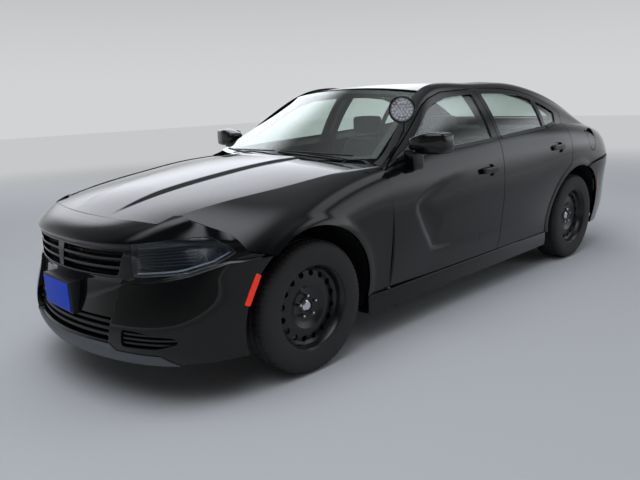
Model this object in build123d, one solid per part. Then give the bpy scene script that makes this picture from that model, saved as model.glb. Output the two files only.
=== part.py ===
"""Four-door police patrol saloon, built as separate panels, glass, running gear and cabin pieces.

Millimetres, +X forward, +Y to the car's left, +Z up. The origin is on the ground under the
middle of the car's length and width. Every piece is modelled on the left and mirrored."""

import os
from math import cos, radians, sin

from build123d import *

# Driving dimensions
LENGTH = 5040.0
HEIGHT = 1510.0
WHEELBASE = 3053.0
FRONT_OVERHANG = 965.0
FRONT_TRACK = 1612.0
REAR_TRACK = 1620.0
TYRE_DIAMETER = 716.0
TYRE_WIDTH = 225.0
RIM_DIAMETER = 457.0
RIM_WIDTH = 200.0
LUG_COUNT = 5
LUG_CIRCLE = 115.0
ARCH_RADIUS = 442.0
SHUT_GAP = 6.0
SEAT_GAP = 0.5
PANEL_SKIN = 22.0
DOOR_WALL = 130.0
SHEET = 30.0
GLASS = 6.0
SILL_Z = 185.0
ROCKER_Z = 300.0
SILL_TUCK = 25.0
RAIL_WIDTH = 50.0
RAIL_RISE = 12.0
PLATE_HOLE_SPACING = 178.0
PLATE_HOLE_RADIUS = 3.5

NOSE_X = LENGTH / 2
TAIL_X = -LENGTH / 2
FRONT_AXLE_X = NOSE_X - FRONT_OVERHANG
REAR_AXLE_X = FRONT_AXLE_X - WHEELBASE
TYRE_RADIUS = TYRE_DIAMETER / 2
AXLE_Z = TYRE_RADIUS
FRONT_WHEEL_Y = FRONT_TRACK / 2
REAR_WHEEL_Y = REAR_TRACK / 2

# Cabin and quarter sections. The arcs between the named edges bulge by the amounts below.
SIDE_COLUMNS = ("x", "rocker_y", "waist_y", "waist_z", "shoulder_y", "shoulder_z",
                "belt_y", "belt_z", "rail_y", "rail_z")
SIDE_ROWS = (
    (930, 880, 930, 770, 884, 985, 858, 1008, 838, 1030),
    (600, 885, 930, 765, 886, 1005, 858, 1062, 742, 1217),
    (246, 888, 931, 765, 888, 1022, 860, 1082, 634, 1432),
    (-300, 892, 935, 770, 892, 1048, 862, 1108, 618, 1480),
    (-900, 900, 945, 790, 896, 1078, 852, 1138, 622, 1472),
    (-1300, 905, 953, 820, 895, 1092, 828, 1150, 642, 1408),
    (-1650, 900, 952, 830, 872, 1090, 790, 1140, 672, 1298),
    (-1950, 880, 935, 830, 835, 1075, 752, 1110, 700, 1160),
    (-2180, 850, 900, 820, 790, 1055, 715, 1080, 692, 1090),
    (-2340, 805, 860, 810, 745, 1040, 700, 1062, 682, 1066),
)
# Front wing sections, from the door edge to the nose. The edge columns are the bonnet cut line.
WING_COLUMNS = ("x", "rocker_y", "waist_y", "waist_z", "shoulder_y", "shoulder_z", "edge_y", "edge_z")
WING_ROWS = (
    (930, 880, 930, 770, 884, 985, 800, 1030),
    (1250, 885, 938, 780, 875, 960, 772, 1018),
    (1555, 885, 950, 790, 852, 925, 736, 985),
    (1900, 870, 925, 740, 790, 868, 662, 945),
    (2130, 820, 850, 700, 700, 835, 606, 905),
)
SIDE_BULGE_LOW = 12.0
SIDE_BULGE_HIGH = 14.0
GLASS_BULGE = 16.0

# Nose outlines, level by level: centre, brow, corner and flank points of the left half.
NOSE_COLUMNS = ("z", "centre_x", "brow_x", "brow_y", "corner_x", "corner_y", "flank_y")
NOSE_ROWS = (
    (228, 2486, 2425, 430, 2235, 770, 893),
    (300, 2520, 2455, 430, 2255, 785, 900),
    (500, 2488, 2425, 440, 2240, 790, 914),
    (630, 2478, 2392, 455, 2195, 775, 915),
    (775, 2460, 2360, 505, 2105, 765, 905),
    (885, 2330, 2200, 590, 2050, 705, 800),
)
NOSE_SEAM_X = 1990.0
NOSE_BACK_X = 1790.0
NOSE_FLANK_FLARE = 22.0

# Tail outlines, level by level, on the same plan.
TAIL_COLUMNS = ("z", "centre_x", "brow_x", "brow_y", "corner_x", "corner_y", "flank_y")
TAIL_ROWS = (
    (230, -2440, -2410, 500, -2290, 760, 832),
    (330, -2512, -2478, 520, -2330, 790, 858),
    (560, -2520, -2482, 540, -2340, 800, 882),
    (700, -2508, -2470, 540, -2335, 800, 894),
    (860, -2496, -2456, 540, -2325, 785, 892),
    (1060, -2484, -2440, 520, -2310, 690, 778),
)
TAIL_SEAM_X = -2180.0

# Roof sections across the car: x, half width, edge height and crown height; then the boot lid's tip.
ROOF_ROWS = ((240, 580, 1446, 1480), (0, 572, 1478, 1502), (-350, 566, 1492, HEIGHT),
             (-750, 566, 1490, 1505), (-1090, 578, 1458, 1482))
LID_CROWN = 16.0
LID_TIP_X = -2486.0
LID_TIP_HALF = 612.0
LID_TIP_Z = 1072.0
BONNET_THICK = 38.0
ROOF_THICK = 46.0
LID_THICK = 34.0

# Shut lines in the side view, as x, z corners
DOOR_SPLIT = ((-290, 310), (-332, 1447))
FRONT_DOOR_NOSE = ((918, 310), (922, 1000), (868, 1030), (600, 1180), (330, 1348), (230, 1392), (80, 1428))
REAR_DOOR_TAIL = ((-640, 1444), (-900, 1424), (-1130, 1374), (-1330, 1296), (-1432, 1232),
                  (-1395, 1170), (-1350, 1080), (-1336, 820), (-1336, 310))
FRONT_WINDOW = ((796, 1062), (590, 1150), (320, 1316), (220, 1358), (60, 1393), (-268, 1411), (-246, 1104))
REAR_WINDOW = ((-362, 1112), (-388, 1411), (-640, 1407), (-900, 1386), (-1040, 1352), (-1022, 1142))
QUARTER_WINDOW = ((-1072, 1146), (-1088, 1338), (-1200, 1298), (-1322, 1240), (-1268, 1166))
DOOR_STEP = 42.0
# Pull handles: the middle of each grip as x, z, and the grip's sizes off the door's skin
FRONT_HANDLE = (-116, 903)
REAR_HANDLE = (-1116, 979)
HANDLE_LENGTH = 196.0
HANDLE_HEIGHT = 28.0
HANDLE_GAP = 14.0
HANDLE_THICK = 18.0
HANDLE_POST = 34.0
HANDLE_ROOT = 6.0
REAR_BUMPER_ZONE = ((-1600, 100), (-1600, 760), (-1795, 794), (-2180, 838), (-2440, 868),
                    (-2600, 868), (-2600, 100))
NOSE_ZONE = ((1700, 100), (1790, 690), (1958, 742), (2010, 830), (2120, 900), (2700, 960), (2700, 100))
BUMPER_TOP_Z = 868.0
BUMPER_WALL = 60.0
TAIL_BACK_X = -1768.0
TAIL_FLANK_FLARE = 54.0
LID_HALF = 500.0
LID_FRONT_X = -1962.0
LID_FRONT_MID_X = -2050.0
LID_ROOM = 700.0
LID_STOP_X = -2470.0
LID_STOP_Y = 300.0
PLATE_POCKET_X = -2475.0
PLATE_POCKET_HALF = 190.0
PLATE_POCKET_Z0 = 545.0
PLATE_POCKET_Z1 = 705.0
PLATE_HOLE_Z = 660.0

# Bowed glass: edge x, half width, edge z, centre x and centre z, with each pane's outward slope in x, z
WINDSHIELD_ROWS = ((884, 774.2, 1066, 1062, 1048), (600, 691.6, 1227, 716, 1252),
                   (262, 588.5, 1432, 334, 1470))
BACKLIGHT_ROWS = ((-1100, 581.6, 1450, -1120, 1480), (-1300, 591.6, 1418, -1335, 1442),
                  (-1650, 621.6, 1308, -1705, 1316), (-1935, 648.2, 1177, -2010, 1174))
WINDSHIELD_SLOPE = (0.48, 0.88)
BACKLIGHT_SLOPE = (-0.35, 0.94)
PANE_DEPTH = 9.0
DOOR_SWING = 16.0
HINGE_ZS = (470.0, 800.0)
HINGE_ARM = 50.0
HINGE_ARM_Y0 = 808.0
HINGE_ARM_Y1 = 858.0
FLAP_X = -1765.0
FLAP_Z = 985.0
FLAP_RADIUS = 78.0
FLAP_GAP = 5.5
FLAP_THICK = 12.0
FLAP_POCKET = 45.0

# Bonnet crown above its cut line at each wing row, its tip row, and front and rear edges in plan
BONNET_CROWN = (46, 50, 54, 44, 34)
BONNET_TIP = (2360, 545, 850, 868)
BONNET_FRONT = (2205, 640, 2300)
BONNET_REAR = (952, 830, 1112)
# The bonnet's raised middle at each wing row: half width, and rise of its crown above the bonnet's
DOME_ROWS = ((312, 13), (292, 13), (268, 13), (242, 9), (222, -3))
DOME_SINK = 2.0
DOME_THICK = 20.0

# Lamps and grille. A lamp outline's u runs across its own facing.
LAMP_FACING = 40.0
LAMP_NEAR = 1850.0
LAMP_FAR = 2600.0
LAMP_DEPTH = 45.0
HEADLAMP = ((-1100, 791), (-905, 806), (-730, 816), (-596, 745), (-841, 660), (-1099, 642))
GRILLE = ((-505, 770), (505, 770), (456, 632), (-456, 632))
INTAKE = ((-455, 440), (455, 440), (425, 325), (-425, 325))
GRILLE_MESH_DEPTH = 34.0
GRILLE_BAR_DEPTH = 8.0
GRILLE_BAR = 22.0
GRILLE_BAR_ZS = (680.0, 722.0)
GRILLE_POST = ((-30, 634), (30, 634), (42, 768), (-42, 768))
# Fog pockets in the front cover's corners, each crossed by slats
FOG_POCKET = ((515, 322), (640, 322), (700, 390), (520, 400))
FOG_DEPTH = 34.0
FOG_SLAT_DEPTH = 9.0
FOG_SLAT = 12.0
FOG_SLAT_ZS = (338.0, 360.0, 382.0)
FOG_NEAR_Y = 500.0
FOG_FAR_Y = 712.0

# Wheel details
HUB_BORE = 34.0
HUB_RADIUS = 60.0
SPINDLE_CLEARANCE = 0.05
DISC_FACE = 30.0
VENT_COUNT = 16
VENT_CIRCLE = 368.0
VENT_RADIUS = 15.0
LUG_RADIUS = 11.0
LUG_LENGTH = 30.0
KINGPIN_Y = 735.0
KINGPIN_R = 14.0
PIN_REACH = 22.0
KNUCKLE_HALF = 118.0
RUNNING_GAP = 5.0

# Floor, wheel houses and front frame
FLOOR_Z = 200.0
TUNNEL_Z = 350.0
FLOOR_HALF = 800.0
FIREWALL_X = 930.0
COWL_Z = 1022.0
COWL_BACK_X = 840.0
REAR_FLOOR_X = -1052.0
BOOT_FLOOR_Z = 520.0
BOOT_HALF = 630.0
BOOT_END_X = -2380.0
SHELF_X0 = -1900.0
SHELF_X1 = -1270.0
SHELF_Z = 1105.0
SHELF_HALF = 740.0
LINER = 8.0
LINER_R = 446.0
LINER_FOOT_Z = 240.0
LINER_FRONT_Y = 438.0
LINER_OUTER_Y = 870.0
RAIL_Y0 = 350.0
FRAME_Z = 420.0
FRAME_HIGH = 90.0
RADIATOR_X = 2180.0
RADIATOR_HALF = 420.0
RADIATOR_TOP = 800.0
STOP_Y = 330.0
ARM = 26.0
ENGINE_X0 = 1130.0
ENGINE_X1 = 1860.0
ENGINE_HALF = 250.0
ENGINE_TOP = 860.0
EXHAUST_X0 = -2440.0
EXHAUST_X1 = 900.0
EXHAUST_Y = 430.0
EXHAUST_Z = 158.0
EXHAUST_R = 32.0
SILENCER_X = -2080.0

# Cabin
DASH_HALF = 715.0
DASH_PROFILE = ((900, 985), (900, 640), (700, 690), (670, 780), (620, 800), (630, 900), (700, 955),
                (820, 985))
CONSOLE_HALF = 98.0
STEER_X = 560.0
STEER_Y = 370.0
STEER_Z = 860.0
STEER_R = 178.0
STEER_LEAN = 26.0
SEAT_Y = 370.0
SEAT_HALF = 262.0
BENCH_HALF = 612.0
FRONT_SEAT = ((430, 470), (410, 380), (330, 330), (330, 230), (-150, 230), (-150, 330), (-230, 430),
              (-360, 1060), (-330, 1090), (-350, 1130), (-370, 1225), (-345, 1260), (-285, 1265),
              (-262, 1220), (-250, 1080), (-130, 560), (-40, 500), (390, 515))
REAR_SEAT = ((-500, 470), (-510, 380), (-560, 230), (-1051, 230), (-1051, 550), (-1240, 550),
             (-1240, 1066), (-1180, 1070), (-1120, 1030), (-1010, 560), (-930, 520), (-540, 520))

# Outside fittings
MIRROR_X = 655.0
MIRROR_Y = 1010.0
MIRROR_Z = 1140.0
SPOT_X = 690.0
SPOT_Y = 815.0
SPOT_Z = 1340.0
SPOT_R = 80.0
SPOT_DEPTH = 60.0
SPOT_FACING = 30.0
SPOT_PIN_R = 8.0
SPOT_STEM_R = 13.0
SPOT_FOOT = (585.0, 735.0, 1200.0)
TAIL_LAMP_DEPTH = 26.0
TAIL_LAMP_X = -2230.0
TAIL_LAMP_OUTER = ((515, 890), (720, 890), (735, 940), (715, 985), (515, 985))
TAIL_LAMP_MID = ((-488, 890), (488, 890), (488, 985), (-488, 985))
FRONT_MARKER = ((1896, 606), (1930, 628), (1993, 498), (1962, 486))
REAR_MARKER = ((-1846, 690), (-1872, 704), (-1944, 548), (-1918, 530))
PLATE_X = 2506.0
PLATE_Z = 501.0
PLATE_HALF = 152.5
REAR_DOOR_ARCH = ARCH_RADIUS + 48.0


def named(columns, row):
    """A table row as a dictionary of its column names."""
    return dict(zip(columns, row))


def outward(a, b, bulge):
    """The middle of the arc from a to b in a y, z section, pushed to the car's outside."""
    dy, dz = b[0] - a[0], b[1] - a[1]
    size = (dy * dy + dz * dz) ** 0.5
    return (a[0] + b[0]) / 2 + bulge * dz / size, (a[1] + b[1]) / 2 - bulge * dy / size


def ring(path, place):
    """A closed wire. Each step is an end point, or a middle and an end point of an arc, put in place."""
    at = path[0][-1]
    edges = []
    for step in path[1:] + [path[0][-1:]]:
        points = [place(*p) for p in (at, *step)]
        edges.append(Edge.make_line(*points) if len(points) == 2 else Edge.make_three_point_arc(*points))
        at = step[-1]
    return Wire(edges)


def section(x, path):
    """A closed wire of y, z steps at station x."""
    return ring(path, lambda y, z: Vector(x, y, z))


def level(z, path):
    """A closed wire of x, y steps at height z."""
    return ring(path, lambda x, y: Vector(x, y, z))


def side_profile(r, depth, upper_depth):
    """The outside of a cabin section, moved inwards by a depth below the belt and another at the rail."""
    sill = (r["rocker_y"] - SILL_TUCK - depth, SILL_Z)
    rocker = (r["rocker_y"] - depth, ROCKER_Z)
    waist = (r["waist_y"] - depth, r["waist_z"])
    shoulder = (r["shoulder_y"] - depth, r["shoulder_z"])
    belt = (r["belt_y"] - depth, r["belt_z"])
    rail = (r["rail_y"] - upper_depth, r["rail_z"])
    return [sill, rocker, outward(rocker, waist, SIDE_BULGE_LOW), waist,
            outward(waist, shoulder, SIDE_BULGE_HIGH), shoulder, belt, outward(belt, rail, GLASS_BULGE), rail]


def side_wall(depth, upper_depth, wall, upper_wall):
    """The left side from sill to roof rail, between two depths under the outer surface."""
    thin = wall - depth < DOOR_WALL
    wires = []
    for row in SIDE_ROWS:
        r = named(SIDE_COLUMNS, row)
        o = side_profile(r, depth, upper_depth)
        i = side_profile(r, wall, upper_wall)
        lip = (r["rail_y"] - RAIL_WIDTH, r["rail_z"] + RAIL_RISE) if upper_depth == 0 else o[8]
        foot = i[8] if thin else (i[8][0], i[8][1] - RAIL_WIDTH / 2)
        low_belt = (i[6][0], min(i[6][1], foot[1] - RAIL_WIDTH / 2))
        low_shoulder = (i[5][0], min(i[5][1], low_belt[1] - RAIL_WIDTH / 2))
        path = [[o[0]], [o[1]], [o[2], o[3]], [o[4], o[5]], [o[6]], [o[7], o[8]]]
        if upper_depth == 0:
            path += [[lip]]
        if thin:
            path += [[foot], [i[7], i[6]], [i[5]], [i[4], i[3]], [i[2], i[1]], [i[0]]]
        else:
            path += [[foot], [low_belt], [low_shoulder], [i[3]], [i[1]], [i[0]]]
        wires.append(section(r["x"], path))
    return Solid.make_loft(wires, True)


def wing_sheet():
    """The left front wing as a sheet that wraps from the flank over the shoulder to the bonnet cut."""
    wires = []
    for row in WING_ROWS:
        r = named(WING_COLUMNS, row)
        rocker = (r["rocker_y"], ROCKER_Z)
        sill = (r["rocker_y"] - SILL_TUCK, SILL_Z)
        waist = (r["waist_y"], r["waist_z"])
        shoulder = (r["shoulder_y"], r["shoulder_z"])
        edge = (r["edge_y"], r["edge_z"])
        path = [[sill], [rocker], [outward(rocker, waist, SIDE_BULGE_LOW), waist],
                [outward(waist, shoulder, SIDE_BULGE_HIGH), shoulder], [outward(shoulder, edge, 8), edge],
                [(edge[0], edge[1] - SHEET)], [(shoulder[0] - SHEET, shoulder[1] - SHEET)],
                [(waist[0] - SHEET, waist[1])], [(rocker[0] - SHEET, ROCKER_Z)], [(sill[0] - SHEET, SILL_Z)]]
        wires.append(section(r["x"], path))
    return Solid.make_loft(wires, True)


def outline_block(rows, columns, seam_x, back_x, flare, inset):
    """The nose or tail as a loft of level outlines, pulled in by an inset all round."""
    forward = 1 if seam_x > 0 else -1
    wires = []
    for row in rows:
        r = named(columns, row)
        centre = (r["centre_x"] - forward * inset, 0)
        brow = (r["brow_x"] - forward * inset, r["brow_y"])
        corner = (r["corner_x"] - forward * inset * 0.7, r["corner_y"] - inset * 0.7)
        flank = (seam_x, r["flank_y"] - inset)
        back = (back_x, r["flank_y"] - inset + flare)
        path = [[(back[0], -back[1])], [(flank[0], -flank[1])],
                [(corner[0], -corner[1]), (brow[0], -brow[1])], [centre, brow], [corner, flank], [back]]
        wires.append(level(r["z"], path))
    return Solid.make_loft(wires, True)


def nose_block(inset, over=0.0):
    """The nose's outer form, pulled in by an inset, and longer at its back by an overrun."""
    return outline_block(NOSE_ROWS, NOSE_COLUMNS, NOSE_SEAM_X, NOSE_BACK_X - over, NOSE_FLANK_FLARE, inset)


def tail_block(inset, over=0.0):
    """The tail's outer form, pulled in by an inset, and longer at its front by an overrun."""
    return outline_block(TAIL_ROWS, TAIL_COLUMNS, TAIL_SEAM_X, TAIL_BACK_X + over, TAIL_FLANK_FLARE, inset)


def slab(rows, thick):
    """A crowned panel across the car: x, half width, edge height and crown height of each section."""
    wires = []
    for x, half, edge_z, crown_z in rows:
        path = [[(-half, edge_z)], [(0, crown_z), (half, edge_z)], [(half, edge_z - thick)],
                [(0, crown_z - thick), (-half, edge_z - thick)]]
        wires.append(section(x, path))
    return Solid.make_loft(wires, True)


def side_prism(corners, grow=0.0, y0=300.0, y1=1250.0):
    """A side view outline as a block through the left wall, grown or shrunk by an offset."""
    face = Face(Wire.make_polygon([Vector(x, 0, z) for x, z in corners], close=True))
    if grow:
        face = offset(face, grow).faces()[0]
    return Pos(0, y0, 0) * extrude(face, amount=y1 - y0, dir=(0, 1, 0))


def front_prism(corners, x0, x1, grow=0.0):
    """A front view outline of y, z corners as a block along the car."""
    face = Face(Wire.make_polygon([Vector(0, y, z) for y, z in corners], close=True))
    if grow:
        face = offset(face, grow).faces()[0]
    return Pos(x0, 0, 0) * extrude(face, amount=x1 - x0, dir=(1, 0, 0))


def plan_line(a, b):
    """A straight edge between two x, y points."""
    return Edge.make_line(Vector(*a, 0), Vector(*b, 0))


def plan_arc(a, b, c):
    """An arc through three x, y points."""
    return Edge.make_three_point_arc(Vector(*a, 0), Vector(*b, 0), Vector(*c, 0))


def plan_prism(edges, z0, z1):
    """A plan view outline of edges as a block upwards."""
    return Pos(0, 0, z0) * extrude(Face(Wire(edges)), amount=z1 - z0, dir=(0, 0, 1))


def box(x0, x1, y0, y1, z0, z1):
    """A block between two corners."""
    return Pos((x0 + x1) / 2, (y0 + y1) / 2, (z0 + z1) / 2) * Box(x1 - x0, y1 - y0, z1 - z0)


def across(x, z, radius, y0, y1):
    """A cylinder across the car."""
    return Pos(x, (y0 + y1) / 2, z) * Rot(90, 0, 0) * Cylinder(radius, y1 - y0)


def mirrored(shape):
    """The right-hand copy of a left-hand piece."""
    return mirror(shape, about=Plane.XZ)


parts = {}


def both(name, left):
    """Keeps a left piece and its mirror image."""
    parts[f"{name}_left"] = left
    parts[f"{name}_right"] = mirrored(left)


# Side view outlines of the doors
front_door_outline = [*FRONT_DOOR_NOSE, *[(x + SHUT_GAP / 2, z) for x, z in reversed(DOOR_SPLIT)]]
rear_door_outline = [*[(x - SHUT_GAP / 2, z) for x, z in DOOR_SPLIT], *REAR_DOOR_TAIL]
front_arch = across(FRONT_AXLE_X, AXLE_Z, ARCH_RADIUS, 300, 1250)
rear_arch = across(REAR_AXLE_X, AXLE_Z, ARCH_RADIUS, 300, 1250)
rear_door_sweep = across(REAR_AXLE_X, AXLE_Z, REAR_DOOR_ARCH, 200, 1300)

wall = side_wall(0, 0, DOOR_WALL, RAIL_WIDTH)
inner_zone = side_wall(PANEL_SKIN, PANEL_SKIN, 2 * DOOR_WALL, 3 * RAIL_WIDTH)
outer_zone = side_wall(-SHUT_GAP, -SHUT_GAP, PANEL_SKIN + SHUT_GAP, PANEL_SKIN + SHUT_GAP)
pane_zone = side_wall(PANE_DEPTH, PANE_DEPTH, PANE_DEPTH + GLASS, PANE_DEPTH + GLASS)
grip_zone = side_wall(-HANDLE_GAP - HANDLE_THICK, -HANDLE_GAP - HANDLE_THICK, -HANDLE_GAP, -HANDLE_GAP)
post_zone = side_wall(-HANDLE_GAP - HANDLE_ROOT, -HANDLE_GAP - HANDLE_ROOT, HANDLE_ROOT, HANDLE_ROOT)


def bar(x, z, length, height):
    """A level bar outline about its middle."""
    return [(x - length / 2, z - height / 2), (x + length / 2, z - height / 2),
            (x + length / 2, z + height / 2), (x - length / 2, z + height / 2)]


def door(outline, windows, handle, arch=None):
    """A door: skin to the shut line, a stepped inner box, window openings and a pull handle on two posts."""
    block = side_prism(outline)
    inner = side_prism(outline, -DOOR_STEP)
    if arch is not None:
        block = block - across(REAR_AXLE_X, AXLE_Z, arch, 200, 1300)
        inner = inner - across(REAR_AXLE_X, AXLE_Z, arch + DOOR_STEP, 200, 1300)
    leaf = (wall & block) - (inner_zone & (block - inner))
    for window in windows:
        leaf = leaf - side_prism(window)
    x, z = handle
    leaf = leaf + (grip_zone & side_prism(bar(x, z, HANDLE_LENGTH, HANDLE_HEIGHT)))
    for end in (-1, 1):
        post_x = x + end * (HANDLE_LENGTH - HANDLE_POST) / 2
        leaf = leaf + (post_zone & side_prism(bar(post_x, z, HANDLE_POST, HANDLE_HEIGHT - HANDLE_ROOT)))
    return leaf


def panes(windows):
    """The fixed glass of a door, seated inside its openings."""
    found = [pane_zone & side_prism(w, -SEAT_GAP) for w in windows]
    return found[0] if len(found) == 1 else Compound([s for f in found for s in f.solids()])


both("front_door", door(front_door_outline, [FRONT_WINDOW], FRONT_HANDLE))
both("rear_door", door(rear_door_outline, [REAR_WINDOW, QUARTER_WINDOW], REAR_HANDLE, REAR_DOOR_ARCH))
both("front_door_glass", panes([FRONT_WINDOW]))
both("rear_door_glass", panes([REAR_WINDOW, QUARTER_WINDOW]))


# Body shell: pillars, roof rail, sill and rear quarter in one pressing for each side


def doorway(outline, arch=0.0):
    """The room a door takes: its skin and shut gap outside, and its box with swing room inside."""
    outer = outer_zone & side_prism(outline, SHUT_GAP)
    inner = side_prism(outline, DOOR_SWING - DOOR_STEP)
    if arch:
        outer = outer - across(REAR_AXLE_X, AXLE_Z, arch - SHUT_GAP, 200, 1300)
        inner = inner - across(REAR_AXLE_X, AXLE_Z, arch + DOOR_STEP - DOOR_SWING, 200, 1300)
    return outer, inner


def hinge_arms(outline, shut_x):
    """Two hinge arms that reach from the pillar flange to the front of a door's box."""
    arms = [box(shut_x - DOOR_STEP - 15, shut_x - DOOR_STEP + DOOR_SWING + 12, HINGE_ARM_Y0, HINGE_ARM_Y1,
                z, z + HINGE_ARM) for z in HINGE_ZS]
    return [arm - side_prism(outline, SEAT_GAP - DOOR_STEP) for arm in arms]


body_side = wall - rear_arch
for outline, windows, arch in ((front_door_outline, [FRONT_WINDOW], 0.0),
                               (rear_door_outline, [REAR_WINDOW, QUARTER_WINDOW], REAR_DOOR_ARCH)):
    for room in doorway(outline, arch):
        body_side = body_side - room
    for window in windows:
        body_side = body_side - side_prism(window)
for outline, shut_line in ((front_door_outline, FRONT_DOOR_NOSE), (rear_door_outline, DOOR_SPLIT)):
    for arm in hinge_arms(outline, shut_line[0][0]):
        body_side = body_side + arm
body_side = body_side - side_prism(REAR_BUMPER_ZONE, SHUT_GAP / 2)
body_side = body_side - box(TAIL_X - 100, TAIL_SEAM_X, 0, 1300, 0, 2000)
tail_skin = tail_block(0) - tail_block(BUMPER_WALL, 1)
corner = tail_skin & box(TAIL_X - 50, TAIL_SEAM_X + 30, LID_HALF + SHUT_GAP, 1300, BUMPER_TOP_Z + SHUT_GAP,
                         LID_TIP_Z - LID_THICK - SHUT_GAP)
corner = corner + (tail_skin & box(TAIL_X - 50, TAIL_SEAM_X + 30, LID_TIP_HALF + 6 * SHUT_GAP, 1300,
                                   1000, 1058))
shell_left = body_side + corner
flap_room = side_wall(-SHUT_GAP, -SHUT_GAP, FLAP_POCKET, FLAP_POCKET) & across(
    FLAP_X, FLAP_Z, FLAP_RADIUS + FLAP_GAP, 300, 1250)
flap_stop = (side_wall(FLAP_THICK + SEAT_GAP, FLAP_THICK + SEAT_GAP, FLAP_POCKET + 10, FLAP_POCKET + 10)
             & box(FLAP_X - 20, FLAP_X + 20, 300, 1250, FLAP_Z - 20, FLAP_Z + 20))
parts["body_side_left"] = (shell_left - flap_room) + flap_stop
parts["body_side_right"] = mirrored(shell_left)
parts["fuel_flap"] = side_wall(0, 0, FLAP_THICK, FLAP_THICK) & across(FLAP_X, FLAP_Z, FLAP_RADIUS, 300, 1250)

rear_cover = (tail_skin & side_prism(REAR_BUMPER_ZONE, 0, -1300, 1300)) - across(
    REAR_AXLE_X, AXLE_Z, ARCH_RADIUS, -1300, 1300)
plate_pocket = box(TAIL_X - 50, PLATE_POCKET_X, -PLATE_POCKET_HALF, PLATE_POCKET_HALF,
                   PLATE_POCKET_Z0, PLATE_POCKET_Z1)
plate_wall = box(PLATE_POCKET_X, PLATE_POCKET_X + SHEET, -PLATE_POCKET_HALF - 10, PLATE_POCKET_HALF + 10,
                 PLATE_POCKET_Z0 - 10, PLATE_POCKET_Z1 + 10)
rear_cover = (rear_cover + plate_wall) - plate_pocket
for side in (-1, 1):
    hole = Pos(PLATE_POCKET_X, side * PLATE_HOLE_SPACING / 2, PLATE_HOLE_Z) * Rot(0, 90, 0) * Cylinder(
        PLATE_HOLE_RADIUS, 3 * SHEET)
    rear_cover = rear_cover - hole
parts["rear_bumper"] = rear_cover

# Roof and the fixed glass
parts["roof"] = slab(ROOF_ROWS, ROOF_THICK)


def screen(rows, slope):
    """A bowed pane lofted through arcs, from each station's edge and centre, and its outward slope."""
    wires = []
    for edge_x, half, edge_z, mid_x, mid_z in rows:
        a, b, c = Vector(edge_x, -half, edge_z), Vector(mid_x, 0, mid_z), Vector(edge_x, half, edge_z)
        way = Vector(mid_x - edge_x, 0, mid_z - edge_z).normalized()
        step = way * (GLASS / way.dot(Vector(slope[0], 0, slope[1])))
        wires.append(Wire([Edge.make_three_point_arc(a, b, c), Edge.make_line(c, c - step),
                           Edge.make_three_point_arc(c - step, b - step, a - step),
                           Edge.make_line(a - step, a)]))
    return Solid.make_loft(wires, True)


rail_room = Pos(0, -SEAT_GAP, 0) * wall
parts["windshield"] = screen(WINDSHIELD_ROWS, WINDSHIELD_SLOPE) - rail_room - mirrored(rail_room)
parts["rear_window"] = screen(BACKLIGHT_ROWS, BACKLIGHT_SLOPE) - rail_room - mirrored(rail_room)

# Bonnet, boot lid and front wings
bonnet_rows = [(r[0], r[6] - SHUT_GAP, r[7], r[7] + crown) for r, crown in zip(WING_ROWS, BONNET_CROWN)]
bonnet_rows.append(BONNET_TIP)


def bonnet_plan(gap):
    """The bonnet's plan outline, grown by a gap at its front edge and wide open at its sides."""
    fx, fy, fc = BONNET_FRONT
    rx, ry, rc = BONNET_REAR
    return [plan_arc((rx - gap, -ry), (rc - gap, 0), (rx - gap, ry)),
            plan_line((rx - gap, ry), (fx + gap, fy)),
            plan_arc((fx + gap, fy), (fc + gap, 0), (fx + gap, -fy)),
            plan_line((fx + gap, -fy), (rx - gap, -ry))]


dome_rows = [(x, dome, crown - (crown - edge) * (dome / half) ** 2 - DOME_SINK, crown + rise)
             for (x, half, edge, crown), (dome, rise) in zip(bonnet_rows, DOME_ROWS)]
bonnet = slab(bonnet_rows, BONNET_THICK) + slab(dome_rows, DOME_THICK)
parts["bonnet"] = bonnet & plan_prism(bonnet_plan(0), 500, 1500)
bonnet_room = slab([(x, h + SHUT_GAP, e + 60, c + 60) for x, h, e, c in bonnet_rows],
                   BONNET_THICK + 60 + SHUT_GAP) & plan_prism(bonnet_plan(SHUT_GAP), 500, 1500)

nose_skin = nose_block(0) - nose_block(BUMPER_WALL, 1)
nose_zone = side_prism(NOSE_ZONE, 0, -1300, 1300)
front_arches = across(FRONT_AXLE_X, AXLE_Z, ARCH_RADIUS, -1300, 1300)
front_cover = (nose_skin & nose_zone) - front_arches - bonnet_room


def lamp_prism(corners, grow=0.0):
    """A lamp outline of u, z corners, swept along the corner's own facing."""
    out = Vector(cos(radians(LAMP_FACING)), sin(radians(LAMP_FACING)), 0)
    along = Vector(-out.Y, out.X, 0)
    face = Face(Wire.make_polygon([along * u + Vector(0, 0, z) for u, z in corners], close=True))
    if grow:
        face = offset(face, grow).faces()[0]
    return Pos(*(out * LAMP_NEAR)) * extrude(face, amount=LAMP_FAR - LAMP_NEAR, dir=tuple(out))


lamp_skin = nose_skin - nose_block(LAMP_DEPTH, 1)
headlamp = lamp_skin & lamp_prism(HEADLAMP, -SEAT_GAP)
lamp_hole = lamp_prism(HEADLAMP)
front_cover = front_cover - lamp_hole - mirrored(lamp_hole)
grille_hole = front_prism(GRILLE, 2150, 2600)
intake_hole = front_prism(INTAKE, 2150, 2600)
front_cover = front_cover - grille_hole - intake_hole
parts["headlamps"] = Compound([headlamp, mirrored(headlamp)])


def skin_between(outer, inner):
    """The nose surface's layer between two depths."""
    return nose_block(outer) - nose_block(inner, 1)


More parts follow.
